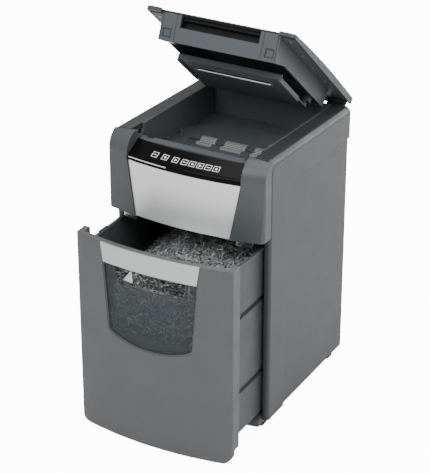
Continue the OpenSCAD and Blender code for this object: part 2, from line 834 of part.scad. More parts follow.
module motor_can() {
  wall = 3;
  boss_r = 8.5;
  color("#4a4e50") at_cabinet() translate([0, motor_y, cut_z]) difference() {
    union() {
      rod(motor_x0, plate_x, 0, 0, motor_r);
      rod(plate_x, plate_x + plate_t, 0, 0, boss_r);
    }
    rod(motor_x0 + wall, plate_x - wall, 0, 0, motor_r - wall);
    rod(motor_x0 - eps, plate_x + plate_t + eps, 0, 0, rotor_shaft_r + run_fit);
    // Cooling windows round the rear end
    for (a = [0:60:300]) rotate([a, 0, 0])
      translate([motor_x0 + 8, -6, 20]) cube([14, 12, 20]);
  }
}
module motor_rotor() {
  color("#a9805a") at_cabinet() translate([0, motor_y, cut_z]) {
    rod(motor_x0 + 24, plate_x - 10, 0, 0, rotor_r);
    rod(motor_x0 - 8, big_x + big_t, 0, 0, rotor_shaft_r);
    // Fan behind the windings
    rod(motor_x0 + 8, motor_x0 + 11, 0, 0, rotor_r + 4);
  }
}
module motor_pinion() {
  color(steel) at_cabinet() translate([big_x, motor_y, cut_z]) difference() {
    gear(pinion_teeth, gear_m, big_t, 180 + 180 / pinion_teeth);
    rod(-eps, big_t + eps, 0, 0, rotor_shaft_r);
  }
}

// ---- Paper feed ---------------------------------------------------------------------------

// Rubber rollers sit on the shafts and reach up through the throat plate
module feed_rollers(y, z, r, bore_r) {
  color("#9a9c9b") at_cabinet()
    for (s = feed_spans) difference() {
      rod(s[0], s[1], y, z, r);
      rod(s[0] - eps, s[1] + eps, y, z, bore_r);
      for (x = [s[0] + 4:6:s[1] - 4]) difference() {
        rod(x, x + 1.6, y, z, r + eps);
        rod(x - eps, x + 1.6 + eps, y, z, r - 0.8);
      }
    }
}
module feed_rollers_rear() { feed_rollers(feed_y_rear, feed_z, feed_r, feed_shaft_r); }
module feed_rollers_front() { feed_rollers(feed_y_front, feed_small_z, feed_small_r, feed_small_shaft_r); }

module feed_shaft_rear() {
  color(steel) at_cabinet() translate([0, feed_y_rear, feed_z]) {
    rod(belt_x, plate_x + plate_t, 0, 0, feed_shaft_r);
    rod(belt_x, belt_x + belt_w, 0, 0, pulley_feed_r);
  }
}
module feed_shaft_front() {
  color(steel) at_cabinet()
    rod(-plate_x - plate_t, plate_x + plate_t, feed_y_front, feed_small_z, feed_small_shaft_r);
}

// Flat belt from the rear cutter to the rear feed shaft
module feed_belt() {
  dy = feed_y_rear - cut_y_rear;
  dz = feed_z - cut_z;
  span = norm([dy, dz]);
  lean = atan2(dz, dy);
  tilt = asin((pulley_cut_r - pulley_feed_r) / span);
  ra = pulley_cut_r + belt_clear;
  rb = pulley_feed_r + belt_clear;
  color(rubber_black) at_cabinet() translate([belt_x + 0.5, cut_y_rear, cut_z]) rotate([lean, 0, 0])
    difference() {
      union() {
        rod(0, belt_w - 1, 0, 0, ra + belt_t);
        rod(0, belt_w - 1, span, 0, rb + belt_t);
        across(belt_sides(ra + belt_t, rb + belt_t, span, tilt), 0, belt_w - 1);
      }
      rod(-eps, belt_w, 0, 0, ra);
      rod(-eps, belt_w, span, 0, rb);
      across(belt_sides(ra, rb, span, tilt), -eps, belt_w);
    }
}

// Outline between the points where a belt leaves two pulleys
function belt_sides(a, b, span, tilt) = [
  [a * sin(tilt), -a * cos(tilt)], [span + b * sin(tilt), -b * cos(tilt)],
  [span + b * sin(tilt), b * cos(tilt)], [a * sin(tilt), a * cos(tilt)]
];

// ---- Electrics ----------------------------------------------------------------------------

board_x0 = -112;
board_x1 = 8;
board_y0 = frame_y1 + 22;
board_y1 = body_d - 26;
board_z = deck_z + 10;
module circuit_board() {
  color("#2f6b45") at_cabinet() {
    block(board_x0, board_x1, board_y0, board_y1, board_z, board_z + 1.6);
    for (x = [board_x0 + 6, board_x1 - 6], y = [board_y0 + 6, board_y1 - 6])
      translate([x, y, deck_z]) cylinder(r = 3, h = board_z - deck_z);
  }
}
module board_parts() {
  top = board_z + 1.6;
  color("#26292b") at_cabinet() {
    block(board_x0 + 14, board_x0 + 48, board_y0 + 14, board_y0 + 44, top, top + 28);
    block(board_x1 - 40, board_x1 - 14, board_y0 + 14, board_y0 + 30, top, top + 15);
    for (i = [0:2]) translate([board_x1 - 44 + i * 15, board_y1 - 16, top]) cylinder(r = 6, h = 22);
  }
}

// Bin-full eye under the deck, drawer reed switch and lid reed switch
module sensors() {
  color(rubber_black) at_cabinet() {
    block(bay_half - 40, bay_half - 18, frame_y0 - 34, frame_y0 - 14, deck_z - deck_t - 6, deck_z - deck_t);
    block(-bay_half + 20, -bay_half + 40, 8, 18, deck_z, deck_z + 14);
    block(rail_in + 2, rail_in + 14, 12, 30, head_z + 90, head_z + 100);
    block(rail_in + 2, bay_half, 16, 26, head_z + 80, head_z + 90);
  }
}

inlet_x = -bay_half + 34;
inlet_z = panel_z + 62;
inlet_w = 30;
inlet_h = 24;
rocker_x = inlet_x + 42;
rocker_w = 21;
rocker_h = 15;

// Appliance inlet with three contact blades, set in the rear cover
module power_inlet() {
  depth = 18;
  pocket = 13;
  pocket_w = 24;
  pocket_h = 16;
  color(rubber_black) at_cabinet() difference() {
    union() {
      block(inlet_x - inlet_w / 2, inlet_x + inlet_w / 2, body_d - depth + 9, body_d,
            inlet_z - inlet_h / 2, inlet_z + inlet_h / 2);
      block(inlet_x - inlet_w / 2 - 3, inlet_x + inlet_w / 2 + 3, body_d, body_d + 2,
            inlet_z - inlet_h / 2 - 3, inlet_z + inlet_h / 2 + 3);
    }
    block(inlet_x - pocket_w / 2, inlet_x + pocket_w / 2, body_d - depth + pocket, body_d + 3,
          inlet_z - pocket_h / 2, inlet_z + pocket_h / 2);
  }
}

// Rocker of the mains switch, tipped to its off side
module power_switch() {
  r = 17;
  color("#141516") at_cabinet() translate([rocker_x, body_d - 3, inlet_z]) {
    intersection() {
      rod(-rocker_w / 2, rocker_w / 2, 0, 0, rocker_h / 2);
      block(-rocker_w / 2, rocker_w / 2, -rocker_h, r, -rocker_h, rocker_h);
    }
  }
}

// ---- Hinge and lid ------------------------------------------------------------------------

// Inner brackets are plain cheeks, the outer ones fill the corner up to the lid's skirt
module hinge_brackets() {
  color("#33383a") at_cabinet() both_sides() {
    hinge_bracket(knuckle_x0 - bracket_gap - bracket_t, bracket_t);
    hinge_bracket(knuckle_x1 + bracket_gap, bracket_wide);
  }
}
module hinge_bracket(x, t) {
  foot = 34;
  difference() {
    union() {
      block(x, x + t, body_d, hinge_y, hinge_z - foot, hinge_z - 1);
      rod(x, x + t, hinge_y, hinge_z, knuckle_r);
    }
    rod(x - eps, x + bracket_t, hinge_y, hinge_z, pin_r);
    // The rear lower corner is cut back
    translate([x - eps, hinge_y + 2, hinge_z - foot - 2]) rotate([30, 0, 0])
      cube([t + 2 * eps, 30, 30]);
  }
}
module hinge_pins() {
  color(steel) at_cabinet() both_sides()
    rod(knuckle_x0 - bracket_gap - bracket_t, knuckle_x1 + bracket_gap + bracket_t, hinge_y, hinge_z, pin_r);
}

// Points along the lid's arched top from y0 to y1, lowered by drop
function lid_arch(y0, y1, drop) =
  [for (i = [0:16]) let (y = y0 + (y1 - y0) * i / 16) [y, lid_top(y) - drop]];

module lid_shell() {
  ear_r = 9;
  color(body_grey) at_lid() difference() {
    intersection() {
      across(concat(lid_arch(-lid_front, lid_tail, 0), [[lid_tail, 0], [-lid_front, 0]]),
             -lid_half, lid_half);
      // Front corners of the ears are rounded
      upright(rounded([
        [-lid_half, -lid_front, ear_r], [lid_half, -lid_front, ear_r],
        [lid_half, lid_tail, 0], [-lid_half, lid_tail, 0]
      ]), -eps, 30);
    }
    across(concat(lid_arch(-lid_front + 9, lid_tail - 2, lid_skin),
                  [[lid_tail - 2, -eps], [-lid_front + 9, -eps]]),
           -lid_half + lid_skirt, lid_half - lid_skirt);
    // The middle of the front edge is set back between two ears
    block(-lid_frame_half, lid_frame_half, -lid_front - eps, lid_front_y, -eps, 30);
    // Clears the hinge
    block(-lid_half + lid_skirt, lid_half - lid_skirt, lid_tail - 3, lid_tail + eps, -eps, 9.5);
  }
}

// Flange under the shell, open in the middle, with the hinge knuckles
module lid_flange() {
  color(dark_grey) at_lid() difference() {
    union() {
      block(-lid_half + lid_skirt + gap, lid_half - lid_skirt - gap, lid_front_y + 4, -14, 0, flange_t);
      both_sides() {
        rod(knuckle_x0, knuckle_x1, 0, 0, knuckle_r);
        block(knuckle_x0, knuckle_x1, -15, 0, 0, flange_t);
      }
    }
    both_sides() rod(knuckle_x0 - eps, knuckle_x1 + eps, 0, 0, pin_r + run_fit);
    // Space for the top of the rim's front wall and the finger pocket
    block(-lid_frame_half - gap, lid_frame_half + gap, lid_front_y - eps, lid_front_y + pocket_d + gap,
          -eps, flange_t + eps);
  }
}

// Slab that follows the lid's leaning front wall, from depth d0 to depth d1 below its face
module wall_slab(x0, x1, z0, z1, d0, d1) {
  across([
    [lid_wall(z0) + d0, z0], [lid_wall(z0) + d1, z0], [lid_wall(z1) + d1, z1], [lid_wall(z1) + d0, z1]
  ], x0, x1);
}

// Deep rim that drops into the tray
module lid_frame() {
  wall = 4;
  front = lid_front_y;
  low = -lid_depth;
  inner = lid_frame_half - wall;
  top = lid_top(front) - lid_skin - 1;
  color(dark_grey) at_lid() {
    difference() {
      union() {
        // Rim walls
        difference() {
          across([
            [lid_wall(top), top], [lid_wall(low), low],
            [lid_wall(low) + 44, -lid_rim - 1], [lid_rear_y, -lid_rim], [lid_rear_y, 0],
            [front + pocket_d, 0], [front + pocket_d, flange_t], [front + 12, flange_t], [front + 10, top]
          ], -lid_frame_half, lid_frame_half);
          across([
            [lid_wall(0) + wall, -wall], [lid_wall(low - 2) + wall, low - 2],
            [lid_wall(low) + 44, low - 2], [lid_rear_y - wall, low - 2], [lid_rear_y - wall, eps],
            [front + pocket_d + wall, eps], [front + pocket_d + wall, -wall]
          ], -inner, inner);
        }
        // Cross ribs
        for (y = [-lid_front + 62, -78]) block(-inner, inner, y, y + 2.5, -28, 0);
        // Ledge behind the front wall
        block(-inner, inner, front + pocket_d + wall, front + pocket_d + wall + 14,
              pocket_z0 - 6, pocket_z0 - 3);
        // Ears for the pressure plate's pivots, each tied to the rim by a web
        both_sides() {
          block(press_ear_x, press_ear_x + 6, press_pivot_y - 8, press_pivot_y + 8, press_pivot_z - 7, 0);
          block(press_ear_x, inner + eps, press_pivot_y - 2, press_pivot_y + 2, -lid_rim + 8, 0);
        }
      }
      both_sides() {
        rod(press_ear_x - eps, press_ear_x + 7, press_pivot_y, press_pivot_z, press_pin_r + run_fit);
        // Catch sockets with a plate inside, and the upright channels beside them
        difference() {
          wall_slab(catch_x0, catch_x1, -43, -25, -5, 3);
          wall_slab(catch_x0 + 3, catch_x1 - 3, -40, -28, 1.5, 5);
        }
        for (x = [catch_x0 - 9, catch_x1 + 2.5]) wall_slab(x, x + 2, -46, 4, -5, 1.2);
      }
      // Seat of the finger pocket
      block(-pocket_half, pocket_half, front - 20, front + pocket_d, pocket_z0, 12);
    }
  }
}

pocket_half = 90;
pocket_d = 26;
pocket_z0 = -20;
flange_t = 3;
catch_x0 = 107;
catch_x1 = 127;

// Black insert that forms the finger pocket in the lid's front edge
module grip_pocket() {
  wall = 2;
  top = lid_top(lid_front_y) - lid_skin - 1;
  front = lid_front_y;
  color(gloss_black) at_lid() difference() {
    across([
      [lid_wall(top) + 1, top], [lid_wall(pocket_z0) + 1, pocket_z0],
      [front + pocket_d, pocket_z0], [front + pocket_d, -0.5], [front + 12, -0.5], [front + 12, top]
    ], -pocket_half, pocket_half);
    across([
      [front - 10, top - wall], [front - 10, pocket_z0 + wall],
      [front + pocket_d - wall, pocket_z0 + wall], [front + pocket_d - wall, -0.5 - wall],
      [front + 12 - wall, -0.5 - wall], [front + 12 - wall, top - wall]
    ], -pocket_half + wall, pocket_half - wall);
  }
}

module lid_screws() {
  color(steel) at_lid() both_sides()
    for (i = [0:3])
      translate([lid_frame_half + 15, -lid_front + 33 + i * 70, 0]) mirror([0, 0, 1]) screw_head(3, 1.2);
}

// Bright catch linkage in the left front corner of the lid's rim
module lid_brackets() {
  t = 1.5;
  y0 = lid_front_y + 30;
  x0 = -lid_frame_half + 4;
  color(steel) at_lid() {
    // Strip along the lower edge of the rim, with a bent end
    across([[y0, -44], [y0, -42.4], [y0 + 40, -35.4], [y0 + 40, -37]], x0, x0 + 11);
    block(x0, x0 + t, y0 + 4, y0 + 30, -40, -28.5);
    // Second strip beside it and two triangular levers
    across([[y0 + 6, -36], [y0 + 6, -34.5], [y0 + 34, -30.5], [y0 + 34, -32]], x0 + t, x0 + 19);
    upright([[x0 + 24, y0 + 2], [x0 + 36, y0 + 10], [x0 + 25, y0 + 22]], -34, -32);
    upright([[x0 + 27, y0 + 28], [x0 + 39, y0 + 22], [x0 + 38, y0 + 38]], -34, -32);
    block(x0 + t, x0 + 38, y0 + 8, y0 + 11, -32, -30.4);
    block(x0 + t, x0 + 38, y0 + 28, y0 + 31, -32, -30.4);
  }
}

// Sprung plate that holds the stack down on the rollers
module press_plate() {
  t = 3;
  z = press_plate_z;
  color("#43484a") at_lid() {
    difference() {
      block(-press_half, press_half, press_front, press_pivot_y + 5, z, z + t);
      for (s = feed_spans) block(s[0], s[1], -220, -204, z - eps, z + t + eps);
    }
    both_sides() {
      block(press_half - 6, press_half, press_front, press_front + 110, z - 4, z + 6);
      block(press_half - 6, press_half, press_pivot_y - 6, press_pivot_y + 6, z, press_pivot_z + 6);
      rod(press_half - 6, press_ear_x + 7, press_pivot_y, press_pivot_z, press_pin_r);
      block(bar_half, bar_half + 5, bar_y - 5, bar_y + 5, z - 6, z);
    }
    block(-press_half, press_half, press_front, press_front + t, z, z + 12);
  }
}

bar_half = 86;
bar_y = -215;

// Bright bar across the pressure plate
module press_bar() {
  r = 2.4;
  color(steel) at_lid() rod(-bar_half, bar_half, bar_y, press_plate_z - r - 0.1, r);
}

// ---- Drawer -------------------------------------------------------------------------------

// Front view of the window opening up to z1, grown by g: the sides lean in and the sill sags
function window_outline(z1, half_top, g = 0) =
  let (
    sag = 20,
    low = window_low_half + g,
    z0 = window_z - g,
    sill = [for (i = [1:11]) let (x = low * (1 - i / 6)) [x, z0 + sag * pow(x / low, 2), 0]]
  )
  rounded(concat(
    [[-half_top - g, z1, 0], [-low - 2, z0 + sag + 2, 14]],
    reversed(sill),
    [[low + 2, z0 + sag + 2, 14], [half_top + g, z1, 0]]
  ));

function band_outline() = [
  [-window_mid_half, band_z], [window_mid_half, band_z],
  [window_top_half, fascia_top + eps], [-window_top_half, fascia_top + eps]
];

module fascia() {
  wall = 4;
  corner_r = 8;
  front_gap = 0.8;
  lip_w = 2.5;
  lip_d = 1.5;
  back = -front_gap;
  low_r = 22;
  rim_z = base_top + 6;
  color(body_grey) at_drawer() difference() {
    intersection() {
      upright(rounded(concat(
        [[-half_w, back, 0], [-half_w, bow(half_w), corner_r]],
        [for (p = bow_points(half_w - 12, 0)) [p.x, p.y, 0]],
        [[half_w, bow(half_w), corner_r], [half_w, back, 0], [half_w - flange_w, back, 0]],
        [for (p = reversed(bow_points(half_w - flange_w, fascia_t))) [p.x, p.y, 0]],
        [[-half_w + flange_w, back, 0]]
      )), fascia_low, fascia_top);
      along(rounded([
        [-half_w, fascia_low, low_r], [half_w, fascia_low, low_r],
        [half_w, fascia_top, 3], [-half_w, fascia_top, 3]
      ]), -100, 10);
    }
    // Window, and the shallow seat of the silver band above it
    along(window_outline(band_z, window_mid_half), -100, 10);
    // Lip round the window
    intersection() {
      along(window_outline(band_z, window_mid_half, lip_w), -100, 10);
      bowed_plate(-eps, lip_d + eps, half_w, window_z - 20, band_z);
    }
    intersection() {
      along(band_outline(), -100, 10);
      bowed_plate(-eps, band_seat + eps, half_w, band_z, fascia_top + eps);
    }
    // Hollow back
    intersection() {
      bowed_plate(wall, fascia_t, half_w, rim_z, fascia_top - 12);
      union() {
        both_sides()
          along(rect(window_top_half + 10, half_w - flange_w - 6, rim_z, fascia_top - 12, 6), -100, 10);
        along(rect(-window_low_half, window_low_half, rim_z, window_z - 12, 6), -100, 10);
      }
    }
    // The side returns stop above the base plate
    block(-half_w - eps, half_w + eps, bow(half_w) + 13, 1, 0, base_top + flange_notch);
  }
}

// Silver band that is both trim and handle, with a lip behind the finger hole
module handle_band() {
  color(silver) at_drawer() intersection() {
    along([
      [-window_mid_half + 0.2, band_z], [window_mid_half - 0.2, band_z],
      [window_top_half - 0.2, fascia_top - 0.3], [-window_top_half + 0.2, fascia_top - 0.3]
    ], -100, 10);
    bowed_plate(-band_proud, band_seat + band_proud - 0.2, half_w, band_z, fascia_top);
  }
}

module window_pane() {
  color("#4f575980") at_drawer() difference() {
    intersection() {
      along(window_outline(band_z, window_mid_half), -100, 10);
      bowed_plate(pane_inset, pane_t, half_w, window_z - 20, band_z);
    }
    along(rounded([
      [-grip_half, band_z - grip_h, 8], [grip_half, band_z - grip_h, 8],
      [grip_half, band_z + eps, 0], [-grip_half, band_z + eps, 0]
    ]), -100, 10);
  }
}

// Plan of the bin, grown inwards by inset and by side at its sides, with the bowed front
function bin_plan(inset, side = 0) = concat(
  [[-bin_half + inset + side, bin_y1 - inset]],
  bow_points(bin_half - inset - side, fascia_t + bin_front_gap + inset),
  [[bin_half - inset - side, bin_y1 - inset]]
);

module bin_tub() {
  rim = 3;
  latch = 30;
  color("#5d6163") at_drawer() difference() {
    union() {
      difference() {
        union() {
          upright(bin_plan(0), bin_z, bin_z + bin_h);
          // Rolled rim along both sides
          both_sides() block(bin_half, bin_half + rim, 0, bin_y1, bin_z + bin_h - 5, bin_z + bin_h);
        }
        upright(bin_plan(bin_wall), bin_z + bin_wall, bin_z + bin_h + eps);
      }
      // Ribs inside, behind the grooves
      both_sides() for (z = groove_z)
        block(bin_half - groove_d - groove_wall, bin_half - bin_wall + eps,
              groove_y0 - groove_wall, bin_y1 - 1,
              z - runner_h / 2 - runner_gap - groove_wall, z + runner_h / 2 + runner_gap + groove_wall);
      // Raised pads on the rim
      both_sides()
        block(bin_half - 1, bin_half + rim, 26, 26 + latch, bin_z + bin_h - eps, bin_z + bin_h + 2.5);
    }
    // Grooves for the runner rails
    both_sides() for (z = groove_z)
      block(bin_half - groove_d, bin_half + eps, groove_y0, bin_y1 + eps,
            z - runner_h / 2 - runner_gap, z + runner_h / 2 + runner_gap);
    // View and finger opening behind the window
    along(rect(-window_low_half - 2, window_low_half + 2, window_z + 22, band_z - 2, 10), -100, 0);
  }
}

// Heap of cut paper in the bin, higher towards the right and the rear
module shredded_paper() {
  rest = 0.6;
  side = groove_d + groove_wall - bin_wall + rest;
  top = bin_z + bin_h;
  color("#b9bcbb") at_drawer() intersection() {
    upright(bin_plan(bin_wall + rest, side), bin_z + bin_wall + rest, top);
    along([
      [-bin_half, bin_z], [bin_half, bin_z], [bin_half, top - 34], [70, top - 20],
      [-30, top - 26], [-100, top - 70], [-bin_half, top - 110]
    ], -100, body_d);
    across([
      [-100, bin_z], [-100, top - 78], [-10, top - 58], [60, top], [body_d, top], [body_d, bin_z]
    ], -bin_half, bin_half);
  }
}

base_plate();
feet();
side_panel_left();
side_panel_right();
bay_liners();
rear_cover();
cover_screws();
deck_plate();
drawer_rails();
catch_plates();
shoulder_left();
shoulder_right();
rail_left();
rail_right();
front_panel();
control_panel();
touch_icons();
status_light();
feed_tray();
throat_plate();
lid_catches();
frame_left();
frame_right();
tie_rods();
cutter_bearings();
stripper_combs();
gear_cover();
idler_stud();
motor_can();
circuit_board();
board_parts();
sensors();
power_inlet();
feed_belt();
hinge_brackets();
hinge_pins();
power_switch();
cutter_rear();
drive_gear();
cutter_front();
idler_gear();
motor_rotor();
motor_pinion();
feed_shaft_rear();
feed_rollers_rear();
feed_shaft_front();
feed_rollers_front();
bin_tub();
fascia();
handle_band();
window_pane();
shredded_paper();
lid_shell();
lid_flange();
lid_frame();
grip_pocket();
lid_screws();
lid_brackets();
press_plate();
press_bar();
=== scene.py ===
"""Looks for an office paper shredder: a bowed pull-out bin below, a feed tray under a raised lid."""

import logging
import math
import random
from dataclasses import dataclass, field
from enum import Enum

import bpy
from mathutils import Matrix, Vector, noise


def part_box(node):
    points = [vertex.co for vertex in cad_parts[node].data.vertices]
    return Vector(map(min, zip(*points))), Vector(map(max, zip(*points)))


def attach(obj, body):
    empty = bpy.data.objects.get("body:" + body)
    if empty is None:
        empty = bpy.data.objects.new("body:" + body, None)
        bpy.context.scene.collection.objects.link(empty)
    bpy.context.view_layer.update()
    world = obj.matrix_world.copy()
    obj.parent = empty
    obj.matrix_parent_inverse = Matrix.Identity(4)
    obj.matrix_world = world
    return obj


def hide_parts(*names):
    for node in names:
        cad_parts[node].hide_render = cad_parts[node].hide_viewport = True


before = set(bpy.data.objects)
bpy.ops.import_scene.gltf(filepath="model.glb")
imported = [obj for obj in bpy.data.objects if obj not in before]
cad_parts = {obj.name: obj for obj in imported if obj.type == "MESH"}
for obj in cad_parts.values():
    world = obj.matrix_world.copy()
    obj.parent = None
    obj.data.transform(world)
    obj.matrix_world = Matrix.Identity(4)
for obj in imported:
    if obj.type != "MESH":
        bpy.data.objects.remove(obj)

log = logging.getLogger("shredder")
MM = 0.001
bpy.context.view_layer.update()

Socket = bpy.types.NodeSocket


# ---- Shared tools -------------------------------------------------------------------------


def linear(hex_colour: str) -> tuple[float, float, float, float]:
    """Turns an sRGB hex colour into a linear one.

    Args:
        hex_colour: Six hex digits after a hash.

    Returns:
        Linear red, green and blue, and an alpha of one.
    """
    parts = [int(hex_colour[i : i + 2], 16) / 255 for i in (1, 3, 5)]
    lin = [p / 12.92 if p <= 0.04045 else ((p + 0.055) / 1.055) ** 2.4 for p in parts]
    return (lin[0], lin[1], lin[2], 1.0)


def add_node(
    tree: bpy.types.NodeTree, kind: str, links: dict | None = None, **settings: object
) -> bpy.types.Node:
    """Adds a node, with its settings and what feeds its sockets.

    Args:
        tree: The tree the node goes into.
        kind: The node's type name.
        links: Input name or number to a constant or to the output socket that feeds it.
        settings: Properties of the node itself.

    Returns:
        The new node.
    """
    node = tree.nodes.new(kind)
    for name, value in settings.items():
        setattr(node, name, value)
    for name, value in (links or {}).items():
        if isinstance(value, Socket):
            tree.links.new(value, node.inputs[name])
        else:
            node.inputs[name].default_value = value
    return node


def per_metre(size_mm: float) -> float:
    """Texture scale whose pattern repeats about every size_mm."""
    return 1000.0 / size_mm


def set_ramp(ramp: bpy.types.Node, stops: list[tuple[float, tuple]]) -> None:
    """Gives a colour ramp its stops.

    Args:
        ramp: The Color Ramp node.
        stops: Place from 0 to 1 and linear colour of each stop, in order.
    """
    elements = ramp.color_ramp.elements
    while len(elements) < len(stops):
        elements.new(0.5)
    for element, (place, colour) in zip(elements, stops):
        element.position = place
        element.color = colour


def scaled(colour: tuple, factor: float) -> tuple:
    """A linear colour made lighter or darker, with its alpha kept."""
    return tuple(min(1.0, c * factor) for c in colour[:3]) + (1.0,)


class Lay(Enum):
    """Direction in which a metal's brushing or drawing runs."""

    ALONG_X = (0.02, 1.0, 1.0)
    ALONG_Y = (1.0, 0.02, 1.0)
    NONE = (1.0, 1.0, 1.0)


@dataclass(frozen=True)
class Finish:
    """A surface finish. Each kind fills in its own nodes; the material is made once and kept."""

    name: str
    colour: str
    roughness: float = 0.5

    def material(self) -> bpy.types.Material:
        """Makes the material, or finds it if it was already made.

        Returns:
            The finished node material.
        """
        known = bpy.data.materials.get(self.name)
        if known:
            return known
        made = bpy.data.materials.new(self.name)
        made.use_nodes = True
        tree = made.node_tree
        tree.nodes.clear()
        out = add_node(tree, "ShaderNodeOutputMaterial")
        place = add_node(tree, "ShaderNodeTexCoord").outputs["Object"]
        tree.links.new(self.surface(tree, place), out.inputs["Surface"])
        made.diffuse_color = linear(self.colour)
        return made

    def surface(self, tree: bpy.types.NodeTree, place: Socket) -> Socket:
        """Builds the shader.

        Args:
            tree: The material's tree.
            place: Position on the object, in metres.

        Returns:
            The shader socket that feeds the output.
        """
        raise NotImplementedError

    def rounded_edge(self, tree: bpy.types.NodeTree, radius_mm: float) -> Socket:
        """A normal that rolls over sharp edges, as a moulded or rolled edge does."""
        return add_node(tree, "ShaderNodeBevel", {"Radius": radius_mm * MM}, samples=4).outputs["Normal"]

    def tone(self, tree: bpy.types.NodeTree, place: Socket, size_mm: float, spread: float) -> Socket:
        """The finish's colour with slow, slight changes of tone.

        Args:
            tree: The material's tree.
            place: Position on the object.
            size_mm: How large a patch of one tone is.
            spread: How far the tone goes each way, as a share.

        Returns:
            The colour socket.
        """
        cloud = add_node(
            tree, "ShaderNodeTexNoise", {"Vector": place, "Scale": per_metre(size_mm), "Detail": 3.0}
        )
        ramp = add_node(tree, "ShaderNodeValToRGB", {"Fac": cloud.outputs["Fac"]})
        base = linear(self.colour)
        set_ramp(ramp, [(0.3, scaled(base, 1 - spread)), (0.7, scaled(base, 1 + spread))])
        return ramp.outputs["Color"]

    def vary(self, tree: bpy.types.NodeTree, source: Socket, low: float, high: float) -> Socket:
        """Spreads the middle of a 0 to 1 pattern over a range of values.

        Args:
            tree: The material's tree.
            source: The pattern.
            low: What the pattern's low places give.
            high: What its high places give.

        Returns:
            The socket of the spread value.
        """
        return add_node(
            tree,
            "ShaderNodeMapRange",
            {"Value": source, "From Min": 0.3, "From Max": 0.7, "To Min": low, "To Max": high},
        ).outputs["Result"]

    def bumped(
        self, tree: bpy.types.NodeTree, height: Socket, strength: float, depth_mm: float, edge_mm: float = 0.0
    ) -> Socket:
        """A normal tipped by a pattern's height, over softened edges where edge_mm is above zero.

        Args:
            tree: The material's tree.
            height: The pattern.
            strength: How much of the tipping shows, from 0 to 1.
            depth_mm: How deep the pattern is.
            edge_mm: Radius of the softened edges.

        Returns:
            The normal socket.
        """
        links = {"Height": height, "Strength": strength, "Distance": depth_mm * MM}
        if edge_mm > 0:
            links["Normal"] = self.rounded_edge(tree, edge_mm)
        return add_node(tree, "ShaderNodeBump", links).outputs["Normal"]


@dataclass(frozen=True)
class Moulded(Finish):
    """Injection-moulded ABS: an eroded, matt grain that breaks up highlights, with softened edges."""

    grain_mm: float = 1.1
    grain_depth: float = 0.10
    edge_mm: float = 1.2
    sheen_spread: float = 0.06
    specular: float = 0.45
    drift_mm: float = 60.0
    tone_mm: float = 90.0

    def surface(self, tree: bpy.types.NodeTree, place: Socket) -> Socket:
        """Grain, tone and a roughness that drifts a little, as handled ABS has.

        Args:
            tree: The material's tree.
            place: Position on the object, in metres.

        Returns:
            The shader socket.
        """
        grain = add_node(
            tree,
            "ShaderNodeTexNoise",
            {"Vector": place, "Scale": per_metre(self.grain_mm), "Detail": 4.0, "Roughness": 0.6},
        )
        drift = add_node(
            tree, "ShaderNodeTexNoise", {"Vector": place, "Scale": per_metre(self.drift_mm), "Detail": 2.0}
        )
        shader = add_node(
            tree,
            "ShaderNodeBsdfPrincipled",
            {
                "Base Color": self.tone(tree, place, self.tone_mm, 0.025),
                "Roughness": self.vary(
                    tree,
                    drift.outputs["Fac"],
                    self.roughness - self.sheen_spread,
                    self.roughness + self.sheen_spread,
                ),
                "IOR": 1.53,
                "Specular IOR Level": self.specular,
                "Normal": self.bumped(tree, grain.outputs["Fac"], self.grain_depth, 0.2, self.edge_mm),
            },
        )
        return shader.outputs["BSDF"]


@dataclass(frozen=True)
class Gloss(Finish):
    """High-gloss moulding: a mirror-like skin with fine dust and the faint waviness of plastic."""

    coat: float = 0.6
    edge_mm: float = 0.8
    specular: float = 0.5
    dust_mm: float = 7.0
    wave_mm: float = 45.0
    tone_mm: float = 70.0

    def surface(self, tree: bpy.types.NodeTree, place: Socket) -> Socket:
        """A clear coat over dark plastic, with dust that dulls it in specks.

        Args:
            tree: The material's tree.
            place: Position on the object, in metres.

        Returns:
            The shader socket.
        """
        dust = add_node(
            tree,
            "ShaderNodeTexVoronoi",
            {"Vector": place, "Scale": per_metre(self.dust_mm)},
            feature="DISTANCE_TO_EDGE",
        )
        wave = add_node(
            tree, "ShaderNodeTexNoise", {"Vector": place, "Scale": per_metre(self.wave_mm), "Detail": 1.0}
        )
        shader = add_node(
            tree,
            "ShaderNodeBsdfPrincipled",
            {
                "Base Color": self.tone(tree, place, self.tone_mm, 0.04),
                "Roughness": self.vary(tree, dust.outputs["Distance"], self.roughness + 0.06, self.roughness),
                "IOR": 1.53,
                "Specular IOR Level": self.specular,
                "Coat Weight": self.coat,
                "Coat Roughness": 0.04,
                "Normal": self.bumped(tree, wave.outputs["Fac"], 0.04, 1.0, self.edge_mm),
            },
        )
        return shader.outputs["BSDF"]


@dataclass(frozen=True)
class Lacquer(Finish):
    """Silver lacquer on plastic: fine metal flake under a satin clear coat."""

    flake_mm: float = 0.8
    edge_mm: float = 0.8

    def surface(self, tree: bpy.types.NodeTree, place: Socket) -> Socket:
        """Each flake tips the normal and the tone a little; flakes are drawn coarse enough to show.

        Args:
            tree: The material's tree.
            place: Position on the object, in metres.

        Returns:
            The shader socket.
        """
        flake = add_node(tree, "ShaderNodeTexVoronoi", {"Vector": place, "Scale": per_metre(self.flake_mm)})
        ramp = add_node(tree, "ShaderNodeValToRGB", {"Fac": flake.outputs["Color"]})
        base = linear(self.colour)
        set_ramp(ramp, [(0.1, scaled(base, 0.93)), (0.9, scaled(base, 1.05))])
        shader = add_node(
            tree,
            "ShaderNodeBsdfPrincipled",
            {
                "Base Color": ramp.outputs["Color"],
                "Metallic": 0.55,
                "Roughness": self.roughness,
                "Coat Weight": 0.25,
                "Coat Roughness": 0.2,
                "Normal": self.bumped(tree, flake.outputs["Distance"], 0.06, 0.1, self.edge_mm),
            },
        )
        return shader.outputs["BSDF"]


